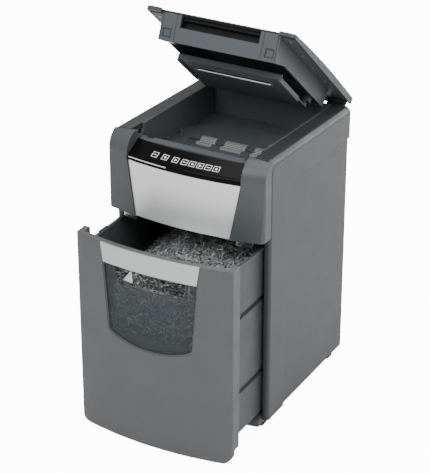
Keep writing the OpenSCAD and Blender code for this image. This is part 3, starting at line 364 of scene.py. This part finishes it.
@dataclass(frozen=True)
class Metal(Finish):
    """Sheet, bar or sintered metal, with its brushing and slight staining."""

    lay: Lay = Lay.NONE
    brush_mm: float = 0.7
    stain: float = 0.06
    stain_mm: float = 25.0
    edge_mm: float = 0.4

    def surface(self, tree: bpy.types.NodeTree, place: Socket) -> Socket:
        """Brushing stretches a fine noise along the lay; stains change the tone in patches.

        Args:
            tree: The material's tree.
            place: Position on the object, in metres.

        Returns:
            The shader socket.
        """
        stretched = add_node(tree, "ShaderNodeMapping", {"Vector": place, "Scale": self.lay.value})
        brush = add_node(
            tree,
            "ShaderNodeTexNoise",
            {"Vector": stretched.outputs["Vector"], "Scale": per_metre(self.brush_mm), "Detail": 3.0},
        )
        shader = add_node(
            tree,
            "ShaderNodeBsdfPrincipled",
            {
                "Base Color": self.tone(tree, place, self.stain_mm, self.stain),
                "Metallic": 1.0,
                "Roughness": self.vary(
                    tree, brush.outputs["Fac"], self.roughness - 0.07, self.roughness + 0.09
                ),
                "Normal": self.bumped(tree, brush.outputs["Fac"], 0.12, 0.08, self.edge_mm),
            },
        )
        return shader.outputs["BSDF"]


@dataclass(frozen=True)
class Rubber(Finish):
    """Matt rubber with a fine, dusty tooth."""

    tooth_mm: float = 1.4
    bloom_mm: float = 9.0
    edge_mm: float = 0.8

    def surface(self, tree: bpy.types.NodeTree, place: Socket) -> Socket:
        """Fine tooth in the bump and a dusty bloom in the tone.

        Args:
            tree: The material's tree.
            place: Position on the object, in metres.

        Returns:
            The shader socket.
        """
        tooth = add_node(
            tree, "ShaderNodeTexNoise", {"Vector": place, "Scale": per_metre(self.tooth_mm), "Detail": 5.0}
        )
        shader = add_node(
            tree,
            "ShaderNodeBsdfPrincipled",
            {
                "Base Color": self.tone(tree, place, self.bloom_mm, 0.10),
                "Roughness": self.vary(
                    tree, tooth.outputs["Fac"], self.roughness - 0.08, self.roughness + 0.08
                ),
                "IOR": 1.52,
                "Specular IOR Level": 0.3,
                "Normal": self.bumped(tree, tooth.outputs["Fac"], 0.3, 0.15, self.edge_mm),
            },
        )
        return shader.outputs["BSDF"]


@dataclass(frozen=True)
class RibbedRubber(Rubber):
    """Feed-roller rubber: moulded with ribs that run along the roller, all round it."""

    axis_y: float = 0.0
    axis_z: float = 0.0
    ribs: int = 22

    def surface(self, tree: bpy.types.NodeTree, place: Socket) -> Socket:
        """Ribs follow the angle round the roller's own axis; the grooves are painted dark as painted shade
        and the crests light as a painted highlight.

        Args:
            tree: The material's tree.
            place: Position on the object, in metres.

        Returns:
            The shader socket.
        """
        centred = add_node(
            tree, "ShaderNodeMapping", {"Vector": place, "Location": (0, -self.axis_y, -self.axis_z)}
        )
        turned = add_node(
            tree,
            "ShaderNodeMapping",
            {"Vector": centred.outputs["Vector"], "Rotation": (0, math.radians(90), 0)},
        )
        angle = add_node(
            tree, "ShaderNodeTexGradient", {"Vector": turned.outputs["Vector"]}, gradient_type="RADIAL"
        )
        turns = add_node(
            tree,
            "ShaderNodeMath",
            {0: angle.outputs["Fac"], 1: 2 * math.pi * self.ribs},
            operation="MULTIPLY",
        )
        rib = add_node(tree, "ShaderNodeMath", {0: turns.outputs["Value"]}, operation="SINE")
        shade = add_node(
            tree, "ShaderNodeMapRange", {"Value": rib.outputs["Value"], "From Min": -1.0, "From Max": 1.0}
        )
        # Painted shade in the ribs' grooves and a painted highlight on their crests
        ramp = add_node(tree, "ShaderNodeValToRGB", {"Fac": shade.outputs["Result"]})
        base = linear(self.colour)
        set_ramp(ramp, [(0.15, scaled(base, 0.35)), (0.5, scaled(base, 1.0)), (1.0, scaled(base, 1.25))])
        shader = add_node(
            tree,
            "ShaderNodeBsdfPrincipled",
            {
                "Base Color": ramp.outputs["Color"],
                "Roughness": self.roughness,
                "IOR": 1.52,
                "Normal": self.bumped(tree, shade.outputs["Result"], 0.9, 0.8),
            },
        )
        return shader.outputs["BSDF"]


@dataclass(frozen=True)
class SmokedPane(Finish):
    """Smoked polycarbonate: a dark tint that lets the paper behind it show, under a smooth skin."""

    veil: float = 0.5
    tint: str = "#dde2e3"
    scuff_mm: float = 14.0
    tone_mm: float = 80.0

    def surface(self, tree: bpy.types.NodeTree, place: Socket) -> Socket:
        """Mixes a tinted see-through layer with a smooth grey skin that catches the light.

        Args:
            tree: The material's tree.
            place: Position on the object, in metres.

        Returns:
            The shader socket.
        """
        scuff = add_node(
            tree, "ShaderNodeTexNoise", {"Vector": place, "Scale": per_metre(self.scuff_mm), "Detail": 4.0}
        )
        skin = add_node(
            tree,
            "ShaderNodeBsdfPrincipled",
            {
                "Base Color": self.tone(tree, place, self.tone_mm, 0.03),
                "Roughness": self.vary(tree, scuff.outputs["Fac"], self.roughness, self.roughness + 0.1),
                "IOR": 1.58,
            },
        )
        clear = add_node(tree, "ShaderNodeBsdfTransparent", {"Color": linear(self.tint)})
        mixed = add_node(
            tree, "ShaderNodeMixShader", {0: self.veil, 1: clear.outputs["BSDF"], 2: skin.outputs["BSDF"]}
        )
        return mixed.outputs["Shader"]


@dataclass(frozen=True)
class CutPaper(Finish):
    """Office paper cut into strips: white, some printed grey, each strip its own tone."""

    darkest: str = "#6d7072"
    fibre_mm: float = 3.0

    def surface(self, tree: bpy.types.NodeTree, place: Socket) -> Socket:
        """Each strip has one tone of its own, and paper fibre breaks it up.

        Args:
            tree: The material's tree.
            place: Position on the object, in metres.

        Returns:
            The shader socket.
        """
        shape = add_node(tree, "ShaderNodeNewGeometry")
        fibre = add_node(
            tree, "ShaderNodeTexNoise", {"Vector": place, "Scale": per_metre(self.fibre_mm), "Detail": 4.0}
        )
        ramp = add_node(tree, "ShaderNodeValToRGB", {"Fac": shape.outputs["Random Per Island"]})
        light = linear(self.colour)
        dark = linear(self.darkest)
        middle = tuple((a + b) / 2 for a, b in zip(dark, light))
        set_ramp(ramp, [(0.0, dark), (0.55, scaled(dark, 1.5)), (0.85, middle), (1.0, light)])
        shader = add_node(
            tree,
            "ShaderNodeBsdfPrincipled",
            {
                "Base Color": ramp.outputs["Color"],
                "Roughness": self.roughness,
                "IOR": 1.5,
                "Specular IOR Level": 0.25,
                "Normal": self.bumped(tree, fibre.outputs["Fac"], 0.25, 0.1),
            },
        )
        return shader.outputs["BSDF"]


@dataclass(frozen=True)
class ShadedPackedPaper(Finish):
    """The inside of a heap of strips, painted dark as painted shade: gaps of painted shade between short runs
    of paper.
    """

    run_mm: float = 5.0

    def surface(self, tree: bpy.types.NodeTree, place: Socket) -> Socket:
        """Stretched cells stand for strips seen end on and on edge.

        Args:
            tree: The material's tree.
            place: Position on the object, in metres.

        Returns:
            The shader socket.
        """
        squeezed = add_node(tree, "ShaderNodeMapping", {"Vector": place, "Scale": (0.45, 0.7, 1.6)})
        cells = add_node(
            tree,
            "ShaderNodeTexVoronoi",
            {"Vector": squeezed.outputs["Vector"], "Scale": per_metre(self.run_mm)},
        )
        # Cell edges fall to a quarter of the tone: painted shade in the gaps between strips
        ramp = add_node(tree, "ShaderNodeValToRGB", {"Fac": cells.outputs["Distance"]})
        base = linear(self.colour)
        set_ramp(ramp, [(0.1, base), (0.75, scaled(base, 0.25))])
        shader = add_node(
            tree,
            "ShaderNodeBsdfPrincipled",
            {
                "Base Color": ramp.outputs["Color"],
                "Roughness": self.roughness,
                "Normal": self.bumped(tree, cells.outputs["Distance"], 0.8, 2.0),
            },
        )
        return shader.outputs["BSDF"]


@dataclass(frozen=True)
class Board(Finish):
    """Fibreglass circuit board: green solder mask with copper runs showing through."""

    track_mm: float = 5.0

    def surface(self, tree: bpy.types.NodeTree, place: Socket) -> Socket:
        """Blocky runs under the mask lift the tone and the surface.

        Args:
            tree: The material's tree.
            place: Position on the object, in metres.

        Returns:
            The shader socket.
        """
        runs = add_node(
            tree,
            "ShaderNodeTexBrick",
            {
                "Vector": place,
                "Scale": per_metre(self.track_mm * 4),
                "Color1": linear(self.colour),
                "Color2": scaled(linear(self.colour), 0.8),
                "Mortar": scaled(linear(self.colour), 1.7),
                "Mortar Size": 0.05,
            },
        )
        shader = add_node(
            tree,
            "ShaderNodeBsdfPrincipled",
            {
                "Base Color": runs.outputs["Color"],
                "Roughness": self.roughness,
                "Normal": self.bumped(tree, runs.outputs["Fac"], 0.3, 0.1),
            },
        )
        return shader.outputs["BSDF"]


# Charcoal ABS of the outer mouldings
BODY_ABS = Moulded("charcoal_abs", "#515456", 0.46)
# The same plastic on the tall side panels, whose edges are moulded softer; its colour is painted darker than
# the body's, as painted shade against the side lamp's light
SIDE_SHADED_ABS = Moulded("side_panel_abs_painted_shade", "#3c3f41", 0.46, edge_mm=6.0, sheen_spread=0.02)
# Smoother plastic of the top rails, its colour painted darker than the body's: painted shade for the lid's
# shadow over the rails
RAIL_SHADED_ABS = Moulded("rail_abs_painted_shade", "#2f3234", 0.42)
# Shoulders beside the silver panel, a shade darker and smoother
SHOULDER_ABS = Moulded("shoulder_abs", "#45494c", 0.38)
# The drawer front is moulded in the same ABS
DRAWER_ABS = Moulded("drawer_front_abs", "#505254", 0.44)
# Lid moulding, a shade darker
LID_ABS = Moulded("lid_abs", "#34383b", 0.45)
# Matt ABS of the tray, the base and the lining sheets
TRAY_ABS = Moulded("tray_abs", "#4c5153", 0.5, grain_depth=0.08, specular=0.3)
# Satin ABS of the lid's inner frame, its flange and the pressure plate
FRAME_ABS = Moulded("lid_frame_abs", "#464b4e", 0.48, specular=0.35)
# Grey polypropylene of the bin
BIN_PP = Moulded("bin_polypropylene", "#414648", 0.5, grain_mm=2.0)
# Black-filled nylon of the combs, sensors and runners
NYLON = Moulded("black_nylon", "#2b2e30", 0.42, grain_mm=0.8)
# Acetal gears: milky, a little waxy
ACETAL = Moulded("acetal", "#ddd6c4", 0.34, grain_mm=2.5, grain_depth=0.04, edge_mm=0.4)
# Gloss polycarbonate of the control panel
PANEL_BLACK = Gloss("gloss_polycarbonate", "#0a0a0b", 0.12, coat=0.0, specular=0.08)
# Matt black insert of the lid's finger pocket
POCKET_BLACK = Moulded("black_textured_abs", "#151618", 0.62, grain_mm=1.6, grain_depth=0.2, specular=0.2)
# Small gloss mouldings: inlet, rocker and the casings on the board
SMALL_BLACK = Gloss("black_gloss_abs", "#17181a", 0.22, coat=0.2)
# Silver lacquer on the handle band
SILVER = Lacquer("silver_lacquer", "#c3c6c5", 0.36)
# Paler silver of the front panel
PALE_SILVER = Lacquer("pale_silver_lacquer", "#eceeed", 0.36)
# Printed silver-white of the touch keys
KEY_PRINT = Moulded("key_print", "#d9dcdc", 0.4, grain_depth=0.02, edge_mm=0.1)
# Near-white frosted strip along the control panel's lower lip
PALE_LIP_STRIP = Moulded("pale_lip_acrylic", "#eef1f2", 0.3, grain_depth=0.03, edge_mm=0.2)
# Zinc-plated sheet of the deck and the gear frames
ZINC = Metal("zinc_plated_steel", "#a9adaf", 0.34, lay=Lay.ALONG_Y)
# Turned and drawn steel rods and screws
BRIGHT = Metal("bright_steel", "#c6c9ca", 0.24, lay=Lay.ALONG_X)
# Hardened, oiled cutter steel
CUTTER = Metal("oiled_tool_steel", "#84888b", 0.32, stain=0.12)
# Oil-filled sintered bronze
BRONZE = Metal("sintered_bronze", "#a98a4c", 0.42, stain=0.12)
# Varnished copper windings
WINDINGS = Metal("varnished_copper", "#a86f45", 0.36, lay=Lay.ALONG_X, brush_mm=1.2)
# Powder-coated steel of the motor and hinges: black, with a fine orange-peel texture
COATED = Moulded("black_powder_coat", "#2e3234", 0.52, grain_mm=1.6, grain_depth=0.2)
# Rubber of feet and belt
BLACK_RUBBER = Rubber("black_rubber", "#232425", 0.78)
# Smoked polycarbonate window
WINDOW = SmokedPane("smoked_polycarbonate", "#4a5053", 0.16, veil=0.3)
# Cut office paper
SHREDS = CutPaper("cut_office_paper", "#d6d7d5", 0.85, darkest="#6a6e70")
# Strips deep in the heap, seen in shade
HEAP_SHADE_CORE = ShadedPackedPaper("packed_paper_painted_shade", "#54585a", 0.9)
# White paper of the scraps that stand in for glints: painted highlights
GLINT_PAPER = CutPaper("glint_white_paper", "#f2f2f0", 0.8, darkest="#e6e6e4")
# Green solder mask of the circuit board
SOLDER_MASK = Board("solder_mask", "#2a6a44", 0.35)


def dress(finish: Finish, *nodes: str) -> None:
    """Gives CAD nodes a finish.

    Args:
        finish: What the nodes are made of.
        nodes: The nodes' names.
    """
    for name in nodes:
        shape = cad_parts[name]
        shape.data.materials.clear()
        shape.data.materials.append(finish.material())
        log.info("%s: %s", name, finish.name)


# ---- Sub-assemblies -----------------------------------------------------------------------


@dataclass
class Cabinet:
    """Side panels, base, deck and rear cover."""

    panels: tuple[str, ...] = ("side_panel_left", "side_panel_right")
    dark_parts: tuple[str, ...] = ("base_plate", "bay_liners")

    def dress(self) -> None:
        """Dresses the cabinet's parts."""
        # The side panels' darker colour is painted shade
        dress(SIDE_SHADED_ABS, *self.panels)
        dress(BODY_ABS, "rear_cover")
        dress(TRAY_ABS, *self.dark_parts)
        dress(BLACK_RUBBER, "feet")
        dress(ZINC, "deck_plate")
        dress(NYLON, "drawer_rails", "sensors")
        dress(BRIGHT, "cover_screws", "catch_plates")
        dress(SMALL_BLACK, "power_inlet", "power_switch")


@dataclass
class Head:
    """Shoulders, rails, silver panel, control panel and feed tray."""

    def dress(self) -> None:
        """Dresses the head's parts."""
        dress(SHOULDER_ABS, "shoulder_left", "shoulder_right")
        # The rails' darker colour is painted shade for the lid's shadow
        dress(RAIL_SHADED_ABS, "rail_left", "rail_right")
        dress(PALE_SILVER, "front_panel")
        dress(PANEL_BLACK, "control_panel")
        dress(KEY_PRINT, "touch_icons")
        dress(PALE_LIP_STRIP, "status_light")
        dress(TRAY_ABS, "feed_tray", "throat_plate", "lid_catches")


@dataclass
class CuttingBlock:
    """Frames, shafts, gears and feed rollers."""

    rollers: tuple[str, ...] = ("feed_rollers_rear", "feed_rollers_front")
    roller_colour: str = "#8e908f"
    parts: dict[str, Finish] = field(
        default_factory=lambda: {
            "frame_left": ZINC,
            "frame_right": ZINC,
            "tie_rods": BRIGHT,
            "idler_stud": BRIGHT,
            "feed_shaft_rear": BRIGHT,
            "feed_shaft_front": BRIGHT,
            "motor_pinion": BRIGHT,
            "cutter_bearings": BRONZE,
            "cutter_rear": CUTTER,
            "cutter_front": CUTTER,
            "drive_gear": ACETAL,
            "idler_gear": ACETAL,
            "stripper_combs": NYLON,
            "gear_cover": NYLON,
            "motor_can": COATED,
            "motor_rotor": WINDINGS,
            "feed_belt": BLACK_RUBBER,
            "circuit_board": SOLDER_MASK,
            "board_parts": SMALL_BLACK,
        }
    )

    def dress(self) -> None:
        """Dresses the machinery, giving each roller ribs centred on its own shaft."""
        for node, finish in self.parts.items():
            dress(finish, node)
        for node in self.rollers:
            low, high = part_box(node)
            centre = (low + high) / 2
            name = node.replace("feed_rollers", "ribbed_rubber")
            dress(
                RibbedRubber(name, self.roller_colour, 0.6, axis_y=centre.y, axis_z=centre.z),
                node,
            )


@dataclass
class Lid:
    """Lid shell, its inner frame and the pressure plate."""

    def dress(self) -> None:
        """Dresses the lid's parts and its hinges."""
        dress(LID_ABS, "lid_shell")
        dress(FRAME_ABS, "lid_flange", "lid_frame", "press_plate")
        dress(POCKET_BLACK, "grip_pocket")
        dress(BRIGHT, "lid_screws", "lid_brackets", "press_bar", "hinge_pins")
        dress(COATED, "hinge_brackets")


@dataclass
class PaperHeap:
    """Heap of cut strips in the bin: a lumpy body under thousands of loose strips."""

    node: str = "shredded_paper"
    seed: int = 7
    # Radius of the bowed front wall's inner face, in metres
    front_radius: float = 0.7285
    strip_width_mm: tuple[float, float] = (1.5, 2.5)
    strip_length_mm: tuple[float, float] = (11.0, 27.0)
    # Radius to which a strip is curled, and how far one end turns against the other, in radians
    curl_mm: tuple[float, float] = (9.0, 70.0)
    twist: float = 0.6
    strip_steps: int = 4
    loose_strips: int = 13000
    window_strips: int = 2600
    # Spread of the angles by which a loose strip pitches and rolls, in radians
    loose_tilt: tuple[float, float] = (0.45, 0.8)
    # The same for the strips that stand against the window
    window_tilt: tuple[float, float] = (0.12, 0.5)
    # How far a loose strip may lie above or below the heap's own height
    stir_mm: float = 5.0
    # How far the strips in the window lie behind the front wall
    behind_mm: tuple[float, float] = (1.5, 5.0)
    # Width of the heap's lumps and of the smaller ones on them, and the height of the larger
    lump_wide_mm: tuple[float, float] = (42.0, 13.0)
    lump_mm: float = 11.0
    # Room kept free of paper at the walls, and room kept for the loose strips
    clear_mm: float = 1.0
    cover_mm: float = 5.0
    # Cells across and along the body, its room at the walls, and how far it lies under its top
    cells: tuple[int, int] = (48, 56)
    inset_mm: float = 2.5
    sink_mm: float = 5.0
    # The heap has slumped away from the front, so that the finger hole looks into shade
    hollow_mm: float = 78.0
    hollow_reach_mm: float = 105.0
    # Above one, more of the strips lie near the front, where the open drawer shows them
    front_bias: float = 1.6
    # How far below its highest point the heap may reach, at distances right of the bin's middle
    side_fall_mm: tuple[tuple[float, float], ...] = ((-150, 83.5), (-100, 50), (-30, 6), (70, 0), (150, 12.5))
    # The same at distances behind the middle of the bowed front
    front_fall_mm: tuple[tuple[float, float], ...] = ((0, 43.5), (24, 38), (94, -20), (400, -20))
    # Painted highlights, a white folded corner of a sheet and a white hooked strip standing in for glints in
    # the finger hole: across, behind the front wall, above the window
    scrap_back_mm: float = 2.5
    corner_mm: tuple[tuple[float, float, float], ...] = (
        (-72, 0.0, -41),
        (-49, 1.0, -43),
        (-55, 6.0, -17),
        (-62, 9.0, -30),
    )
    hook_mm: tuple[tuple[float, float, float], ...] = (
        (78, 3.0, -20),
        (78.5, 3.0, -34),
        (77.5, 4.0, -48),
        (76.5, 3.5, -56),
        (72, 3.0, -62),
        (67, 3.0, -61),
    )
    hook_half_mm: float = 0.9

    def __post_init__(self) -> None:
        """Reads the room the heap may take from its CAD solid."""
        self.low, self.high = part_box(self.node)
        self.rng = random.Random(self.seed)
        self.half = (self.high.x - self.low.x) / 2

    def front(self, x: float) -> float:
        """Y of the bowed front wall's inner face at x."""
        r = self.front_radius
        return self.low.y + r - math.sqrt(r * r - x * x)

    @staticmethod
    def between(steps: tuple[tuple[float, float], ...], at: float) -> float:
        """Reads a value off a broken line.

        Args:
            steps: Points of the line, in order.
            at: Where to read it.

        Returns:
            The value there; beyond the ends, the nearest end's.
        """
        at = max(steps[0][0], min(steps[-1][0], at))
        for (a, fa), (b, fb) in zip(steps, steps[1:]):
            if at <= b:
                return fa + (fb - fa) * (at - a) / (b - a)
        return steps[-1][1]

    def limit(self, x: float, y: float) -> float:
        """Height that the heap may not pass at a point of its plan.

        Args:
            x: Across the bin, in metres.
            y: Along the bin, in metres.

        Returns:
            The height, in metres.
        """
        side = self.between(self.side_fall_mm, x / MM)
        front = self.between(self.front_fall_mm, (y - self.low.y) / MM)
        return self.high.z - max(side, front) * MM

    def top(self, x: float, y: float) -> float:
        """Height of the heap at a point of its plan.

        Args:
            x: Across the bin, in metres.
            y: Along the bin, in metres.

        Returns:
            The height, in metres.
        """
        wide, narrow = self.lump_wide_mm
        lump = noise.noise(Vector((x, y, 0.0)) * per_metre(wide)) * self.lump_mm
        fine = noise.noise(Vector((x, y, 0.3)) * per_metre(narrow)) * self.lump_mm * 0.35
        near = max(0.0, 1.0 - (y - self.low.y) / MM / self.hollow_reach_mm)
        sunk = self.cover_mm + self.lump_mm * 0.6 + self.hollow_mm * near
        return self.limit(x, y) + (lump + fine - sunk) * MM

    def body(self) -> bpy.types.Object:
        """Builds the closed, lumpy body of the heap.

        Returns:
            The new mesh object.
        """
        across, deep = self.cells
        inset = self.inset_mm * MM
        sink = self.sink_mm * MM
        verts: list[tuple[float, float, float]] = []
        faces: list[tuple[int, ...]] = []
        for level in (0, 1):
            for j in range(deep + 1):
                for i in range(across + 1):
                    x = (self.half - inset) * (2 * i / across - 1)
                    y0, y1 = self.front(x) + inset, self.high.y - inset
                    y = y0 + (y1 - y0) * j / deep
                    z = self.top(x, y) - sink if level else self.low.z + inset
                    verts.append((x, y, z))
        row = across + 1
        layer = row * (deep + 1)
        for j in range(deep):
            for i in range(across):
                a = j * row + i
                faces.append((a, a + row, a + row + 1, a + 1))
                faces.append((layer + a, layer + a + 1, layer + a + row + 1, layer + a + row))
        rim = list(range(row))
        rim += [j * row + across for j in range(1, deep + 1)]
        rim += [deep * row + i for i in range(across - 1, -1, -1)]
        rim += [j * row for j in range(deep - 1, 0, -1)]
        for a, b in zip(rim, rim[1:] + rim[:1]):
            faces.append((a, b, layer + b, layer + a))
        # The body's dark grey is painted shade deep in the heap
        return self.to_object("paper_heap_body", verts, faces, HEAP_SHADE_CORE)

    def strip(self, verts: list, faces: list, place: Matrix) -> bool:
        """Adds one curled strip if all of it stays where it may be.

        Args:
            verts: Vertices so far, added to.
            faces: Faces so far, added to.
            place: Where the strip's middle is and how it is turned.

        Returns:
            Whether the strip was added.
        """
        rng = self.rng
        length = rng.uniform(*self.strip_length_mm) * MM
        width = rng.uniform(*self.strip_width_mm) * MM
        bend = rng.choice((-1, 1)) * rng.uniform(*self.curl_mm) * MM
        twist = rng.gauss(0, self.twist)
        steps = self.strip_steps
        points = []
        for k in range(steps + 1):
            s = length * (k / steps - 0.5)
            a = s / bend
            centre = Vector((bend * math.sin(a), 0, bend * (1 - math.cos(a))))
            side = Matrix.Rotation(twist * s / length, 3, "X") @ Vector((0, width / 2, 0))
            for sign in (-1, 1):
                point = place @ (centre + side * sign)
                if not self.inside(point):
                    return False
                points.append(tuple(point))
        start = len(verts)
        verts.extend(points)
        for k in range(steps):
            a = start + 2 * k
            faces.append((a, a + 1, a + 3, a + 2))
        return True

    def inside(self, point: Vector) -> bool:
        """Says whether a point is clear of the bin's walls and the solid's top.

        Args:
            point: The point, in metres.

        Returns:
            Whether the point may be part of the heap.
        """
        clear = self.clear_mm * MM
        return (
            abs(point.x) < self.half - clear
            and self.front(point.x) + clear < point.y < self.high.y - clear
            and self.low.z < point.z < self.limit(point.x, point.y) - clear
        )

    def loose(self) -> bpy.types.Object:
        """Scatters strips over the top of the heap.

        Returns:
            The new mesh object.
        """
        verts: list = []
        faces: list = []
        rng = self.rng
        pitch, roll = self.loose_tilt
        made = 0
        tries = 0
        while made < self.loose_strips and tries < self.loose_strips * 3:
            tries += 1
            x = rng.uniform(-self.half, self.half)
            deep = rng.random() ** self.front_bias
            y = self.front(x) + (self.high.y - self.front(x)) * deep
            z = self.top(x, y) + rng.triangular(-self.stir_mm, self.stir_mm, 0) * MM
            turn = (
                Matrix.Rotation(rng.uniform(0, math.tau), 4, "Z")
                @ Matrix.Rotation(rng.gauss(0, pitch), 4, "Y")
                @ Matrix.Rotation(rng.gauss(0, roll), 4, "X")
            )
            made += self.strip(verts, faces, Matrix.Translation((x, y, z)) @ turn)
        return self.to_object("paper_strips", verts, faces, SHREDS)

    def behind_window(self) -> bpy.types.Object:
        """Stands strips against the drawer's front, where the window shows them.

        Returns:
            The new mesh object.
        """
        verts: list = []
        faces: list = []
        rng = self.rng
        lean, roll = self.window_tilt
        pane_low, pane_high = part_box("window_pane")
        half = (pane_high.x - pane_low.x) / 2
        for _ in range(self.window_strips):
            x = rng.uniform(-half, half)
            z = rng.uniform(pane_low.z, self.limit(x, self.front(x)))
            y = self.front(x) + rng.uniform(*self.behind_mm) * MM
            turn = (
                Matrix.Rotation(math.radians(90) + rng.gauss(0, lean), 4, "X")
                @ Matrix.Rotation(rng.uniform(0, math.tau), 4, "Z")
                @ Matrix.Rotation(rng.gauss(0, roll), 4, "X")
            )
            self.strip(verts, faces, Matrix.Translation((x, y, z)) @ turn)
        return self.to_object("paper_strips_window", verts, faces, SHREDS)

    def scraps(self) -> bpy.types.Object:
        """A folded corner of a sheet and a hooked strip in white paper, both seen through the finger hole:
        painted highlights that stand in for glints there.

        Returns:
            The new mesh object.
        """
        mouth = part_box("window_pane")[1].z

        def at(x: float, y: float, z: float) -> tuple[float, float, float]:
            """A point given in mm, put behind the bowed front wall."""
            wall = self.front(x * MM) + self.scrap_back_mm * MM
            return (x * MM, wall + y * MM, mouth + z * MM)

        verts = [at(*point) for point in self.corner_mm]
        faces: list[tuple[int, ...]] = [(0, 1, 2), (0, 2, 3)]
        start = len(verts)
        for x, y, z in self.hook_mm:
            for side in (-self.hook_half_mm, self.hook_half_mm):
                place = at(x, y + side, z + side)
                verts.append((place[0] + side * MM, place[1], place[2]))
        for k in range(len(self.hook_mm) - 1):
            a = start + 2 * k
            faces.append((a, a + 1, a + 3, a + 2))
        return self.to_object("glint_paper_scraps", verts, faces, GLINT_PAPER)

    def to_object(self, name: str, verts: list, faces: list, finish: Finish) -> bpy.types.Object:
        """Makes a piece that rides on the bin.

        Args:
            name: The piece's name.
            verts: Its vertices, in metres.
            faces: Its faces.
            finish: What it is made of.

        Returns:
            The new mesh object.
        """
        mesh = bpy.data.meshes.new(name)
        mesh.from_pydata(verts, [], faces)
        mesh.update()
        mesh.materials.append(finish.material())
        piece = bpy.data.objects.new(name, mesh)
        bpy.context.scene.collection.objects.link(piece)
        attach(piece, "bin")
        log.info("%s: %d faces", name, len(faces))
        return piece

    def build(self) -> None:
        """Builds the heap in place of its CAD solid."""
        heap = self.body()
        for face in heap.data.polygons:
            face.use_smooth = True
        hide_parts(self.node)
        self.loose()
        self.behind_window()
        self.scraps()


@dataclass
class Drawer:
    """Bin, its bowed front, the handle band, the window and the paper."""

    heap: PaperHeap = field(default_factory=PaperHeap)

    def dress(self) -> None:
        """Dresses the drawer and fills it."""
        dress(DRAWER_ABS, "fascia")
        dress(BIN_PP, "bin_tub")
        dress(SILVER, "handle_band")
        dress(WINDOW, "window_pane")
        self.heap.build()


@dataclass(frozen=True)
class Lamp:
    """One soft square light: where it hangs, its side, its power in watts and the point it faces."""

    name: str
    place: tuple[float, float, float]
    size: float
    power: float
    aim: tuple[float, float, float] = (0.0, 0.0, 0.35)

    def hang(self) -> None:
        """Adds the light to the scene."""
        data = bpy.data.lights.new(self.name, "AREA")
        data.size = self.size
        data.energy = self.power
        lamp = bpy.data.objects.new(self.name, data)
        lamp.location = self.place
        lamp.rotation_euler = (Vector(self.aim) - Vector(self.place)).to_track_quat("-Z", "Y").to_euler()
        bpy.context.scene.collection.objects.link(lamp)


@dataclass
class Studio:
    """Pale floor, soft lights and the camera."""

    # Camera: its direction in degrees, its distance and offsets in metres, and its lens
    azimuth: float = 29.22
    elevation: float = 27.44
    distance: float = 3.9668
    offset_right: float = 0.045896
    offset_up: float = 0.347223
    lens_mm: float = 140.94038
    sensor_mm: float = 36.0
    view_limit: float = 100.0
    # Floors: their side, the gap between them and the upper one's own light
    floor_size: float = 30.0
    floor_gap: float = 0.0005
    floor_glow: float = 12.0
    sky_glow: float = 0.62
    # The key comes from the left, the fill from the right and the side light from the right rear
    lamps: tuple[Lamp, ...] = (
        Lamp("key", (-0.7, -2.9, 3.1), 2.0, 56),
        Lamp("top", (0.2, 0.1, 3.2), 2.2, 45),
        Lamp("side", (1.6, 2.6, 1.0), 1.6, 48),
        Lamp("fill", (1.7, -1.5, 3.0), 1.4, 50, (0.0, 0.0, 0.5)),
    )
    # Point the camera's place is measured from: on the cabinet's front plane, at its lower edge
    shift: tuple[float, float, float] = (0.0, -0.105247, 0.024)

    def camera(self) -> None:
        """Places the camera in front, to the right and above."""
        a, e = math.radians(self.azimuth), math.radians(self.elevation)
        right = Vector((math.cos(a), math.sin(a), 0))
        up = Vector((-math.sin(a) * math.sin(e), math.cos(a) * math.sin(e), math.cos(e)))
        back = Vector((math.sin(a) * math.cos(e), -math.cos(a) * math.cos(e), math.sin(e)))
        data = bpy.data.cameras.new("camera")
        data.sensor_width = self.sensor_mm
        data.lens = self.lens_mm
        data.clip_end = self.view_limit
        camera = bpy.data.objects.new("camera", data)
        camera.location = (
            Vector(self.shift) + right * self.offset_right + up * self.offset_up + back * self.distance
        )
        camera.rotation_euler = (math.radians(90) - e, 0, a)
        bpy.context.scene.collection.objects.link(camera)
        bpy.context.scene.camera = camera

    def floor(self, name: str, z: float, glow: float) -> bpy.types.Object:
        """Lays one plain pale floor.

        Args:
            name: The floor's name.
            z: Its height in metres.
            glow: The strength of its own light.

        Returns:
            The floor.
        """
        half = self.floor_size / 2
        mesh = bpy.data.meshes.new(name)
        corners = [(-half, -half, z), (half, -half, z), (half, half, z), (-half, half, z)]
        mesh.from_pydata(corners, [], [(0, 1, 2, 3)])
        mat = bpy.data.materials.new(name)
        mat.use_nodes = True
        shader = mat.node_tree.nodes["Principled BSDF"]
        shader.inputs["Base Color"].default_value = linear("#f6f6f6")
        shader.inputs["Roughness"].default_value = 0.9
        shader.inputs["Emission Color"].default_value = (1, 1, 1, 1)
        shader.inputs["Emission Strength"].default_value = glow
        mesh.materials.append(mat)
        floor = bpy.data.objects.new(name, mesh)
        bpy.context.scene.collection.objects.link(floor)
        return floor

    def ground(self) -> None:
        """Lays a bright floor that only the camera sees over a plain one that only returns light."""
        seen = self.floor("white_floor", 0.0, self.floor_glow)
        seen.visible_diffuse = seen.visible_glossy = seen.visible_shadow = False
        self.floor("pale_floor", -self.floor_gap, 0.0).visible_camera = False

    def sky(self) -> None:
        """Fills the surroundings with even white light."""
        world = bpy.data.worlds.new("studio")
        world.use_nodes = True
        shade = world.node_tree.nodes["Background"]
        shade.inputs["Color"].default_value = (1, 1, 1, 1)
        shade.inputs["Strength"].default_value = self.sky_glow
        bpy.context.scene.world = world

    def build(self) -> None:
        """Builds the studio."""
        self.camera()
        self.ground()
        self.sky()
        for lamp in self.lamps:
            lamp.hang()


def main() -> None:
    """Builds every sub-assembly in order."""
    logging.basicConfig(level=logging.INFO, format="%(name)s %(message)s")
    Cabinet().dress()
    Head().dress()
    CuttingBlock().dress()
    Drawer().dress()
    Lid().dress()
    Studio().build()
    bpy.context.view_layer.update()


if __name__ == "__main__":
    main()
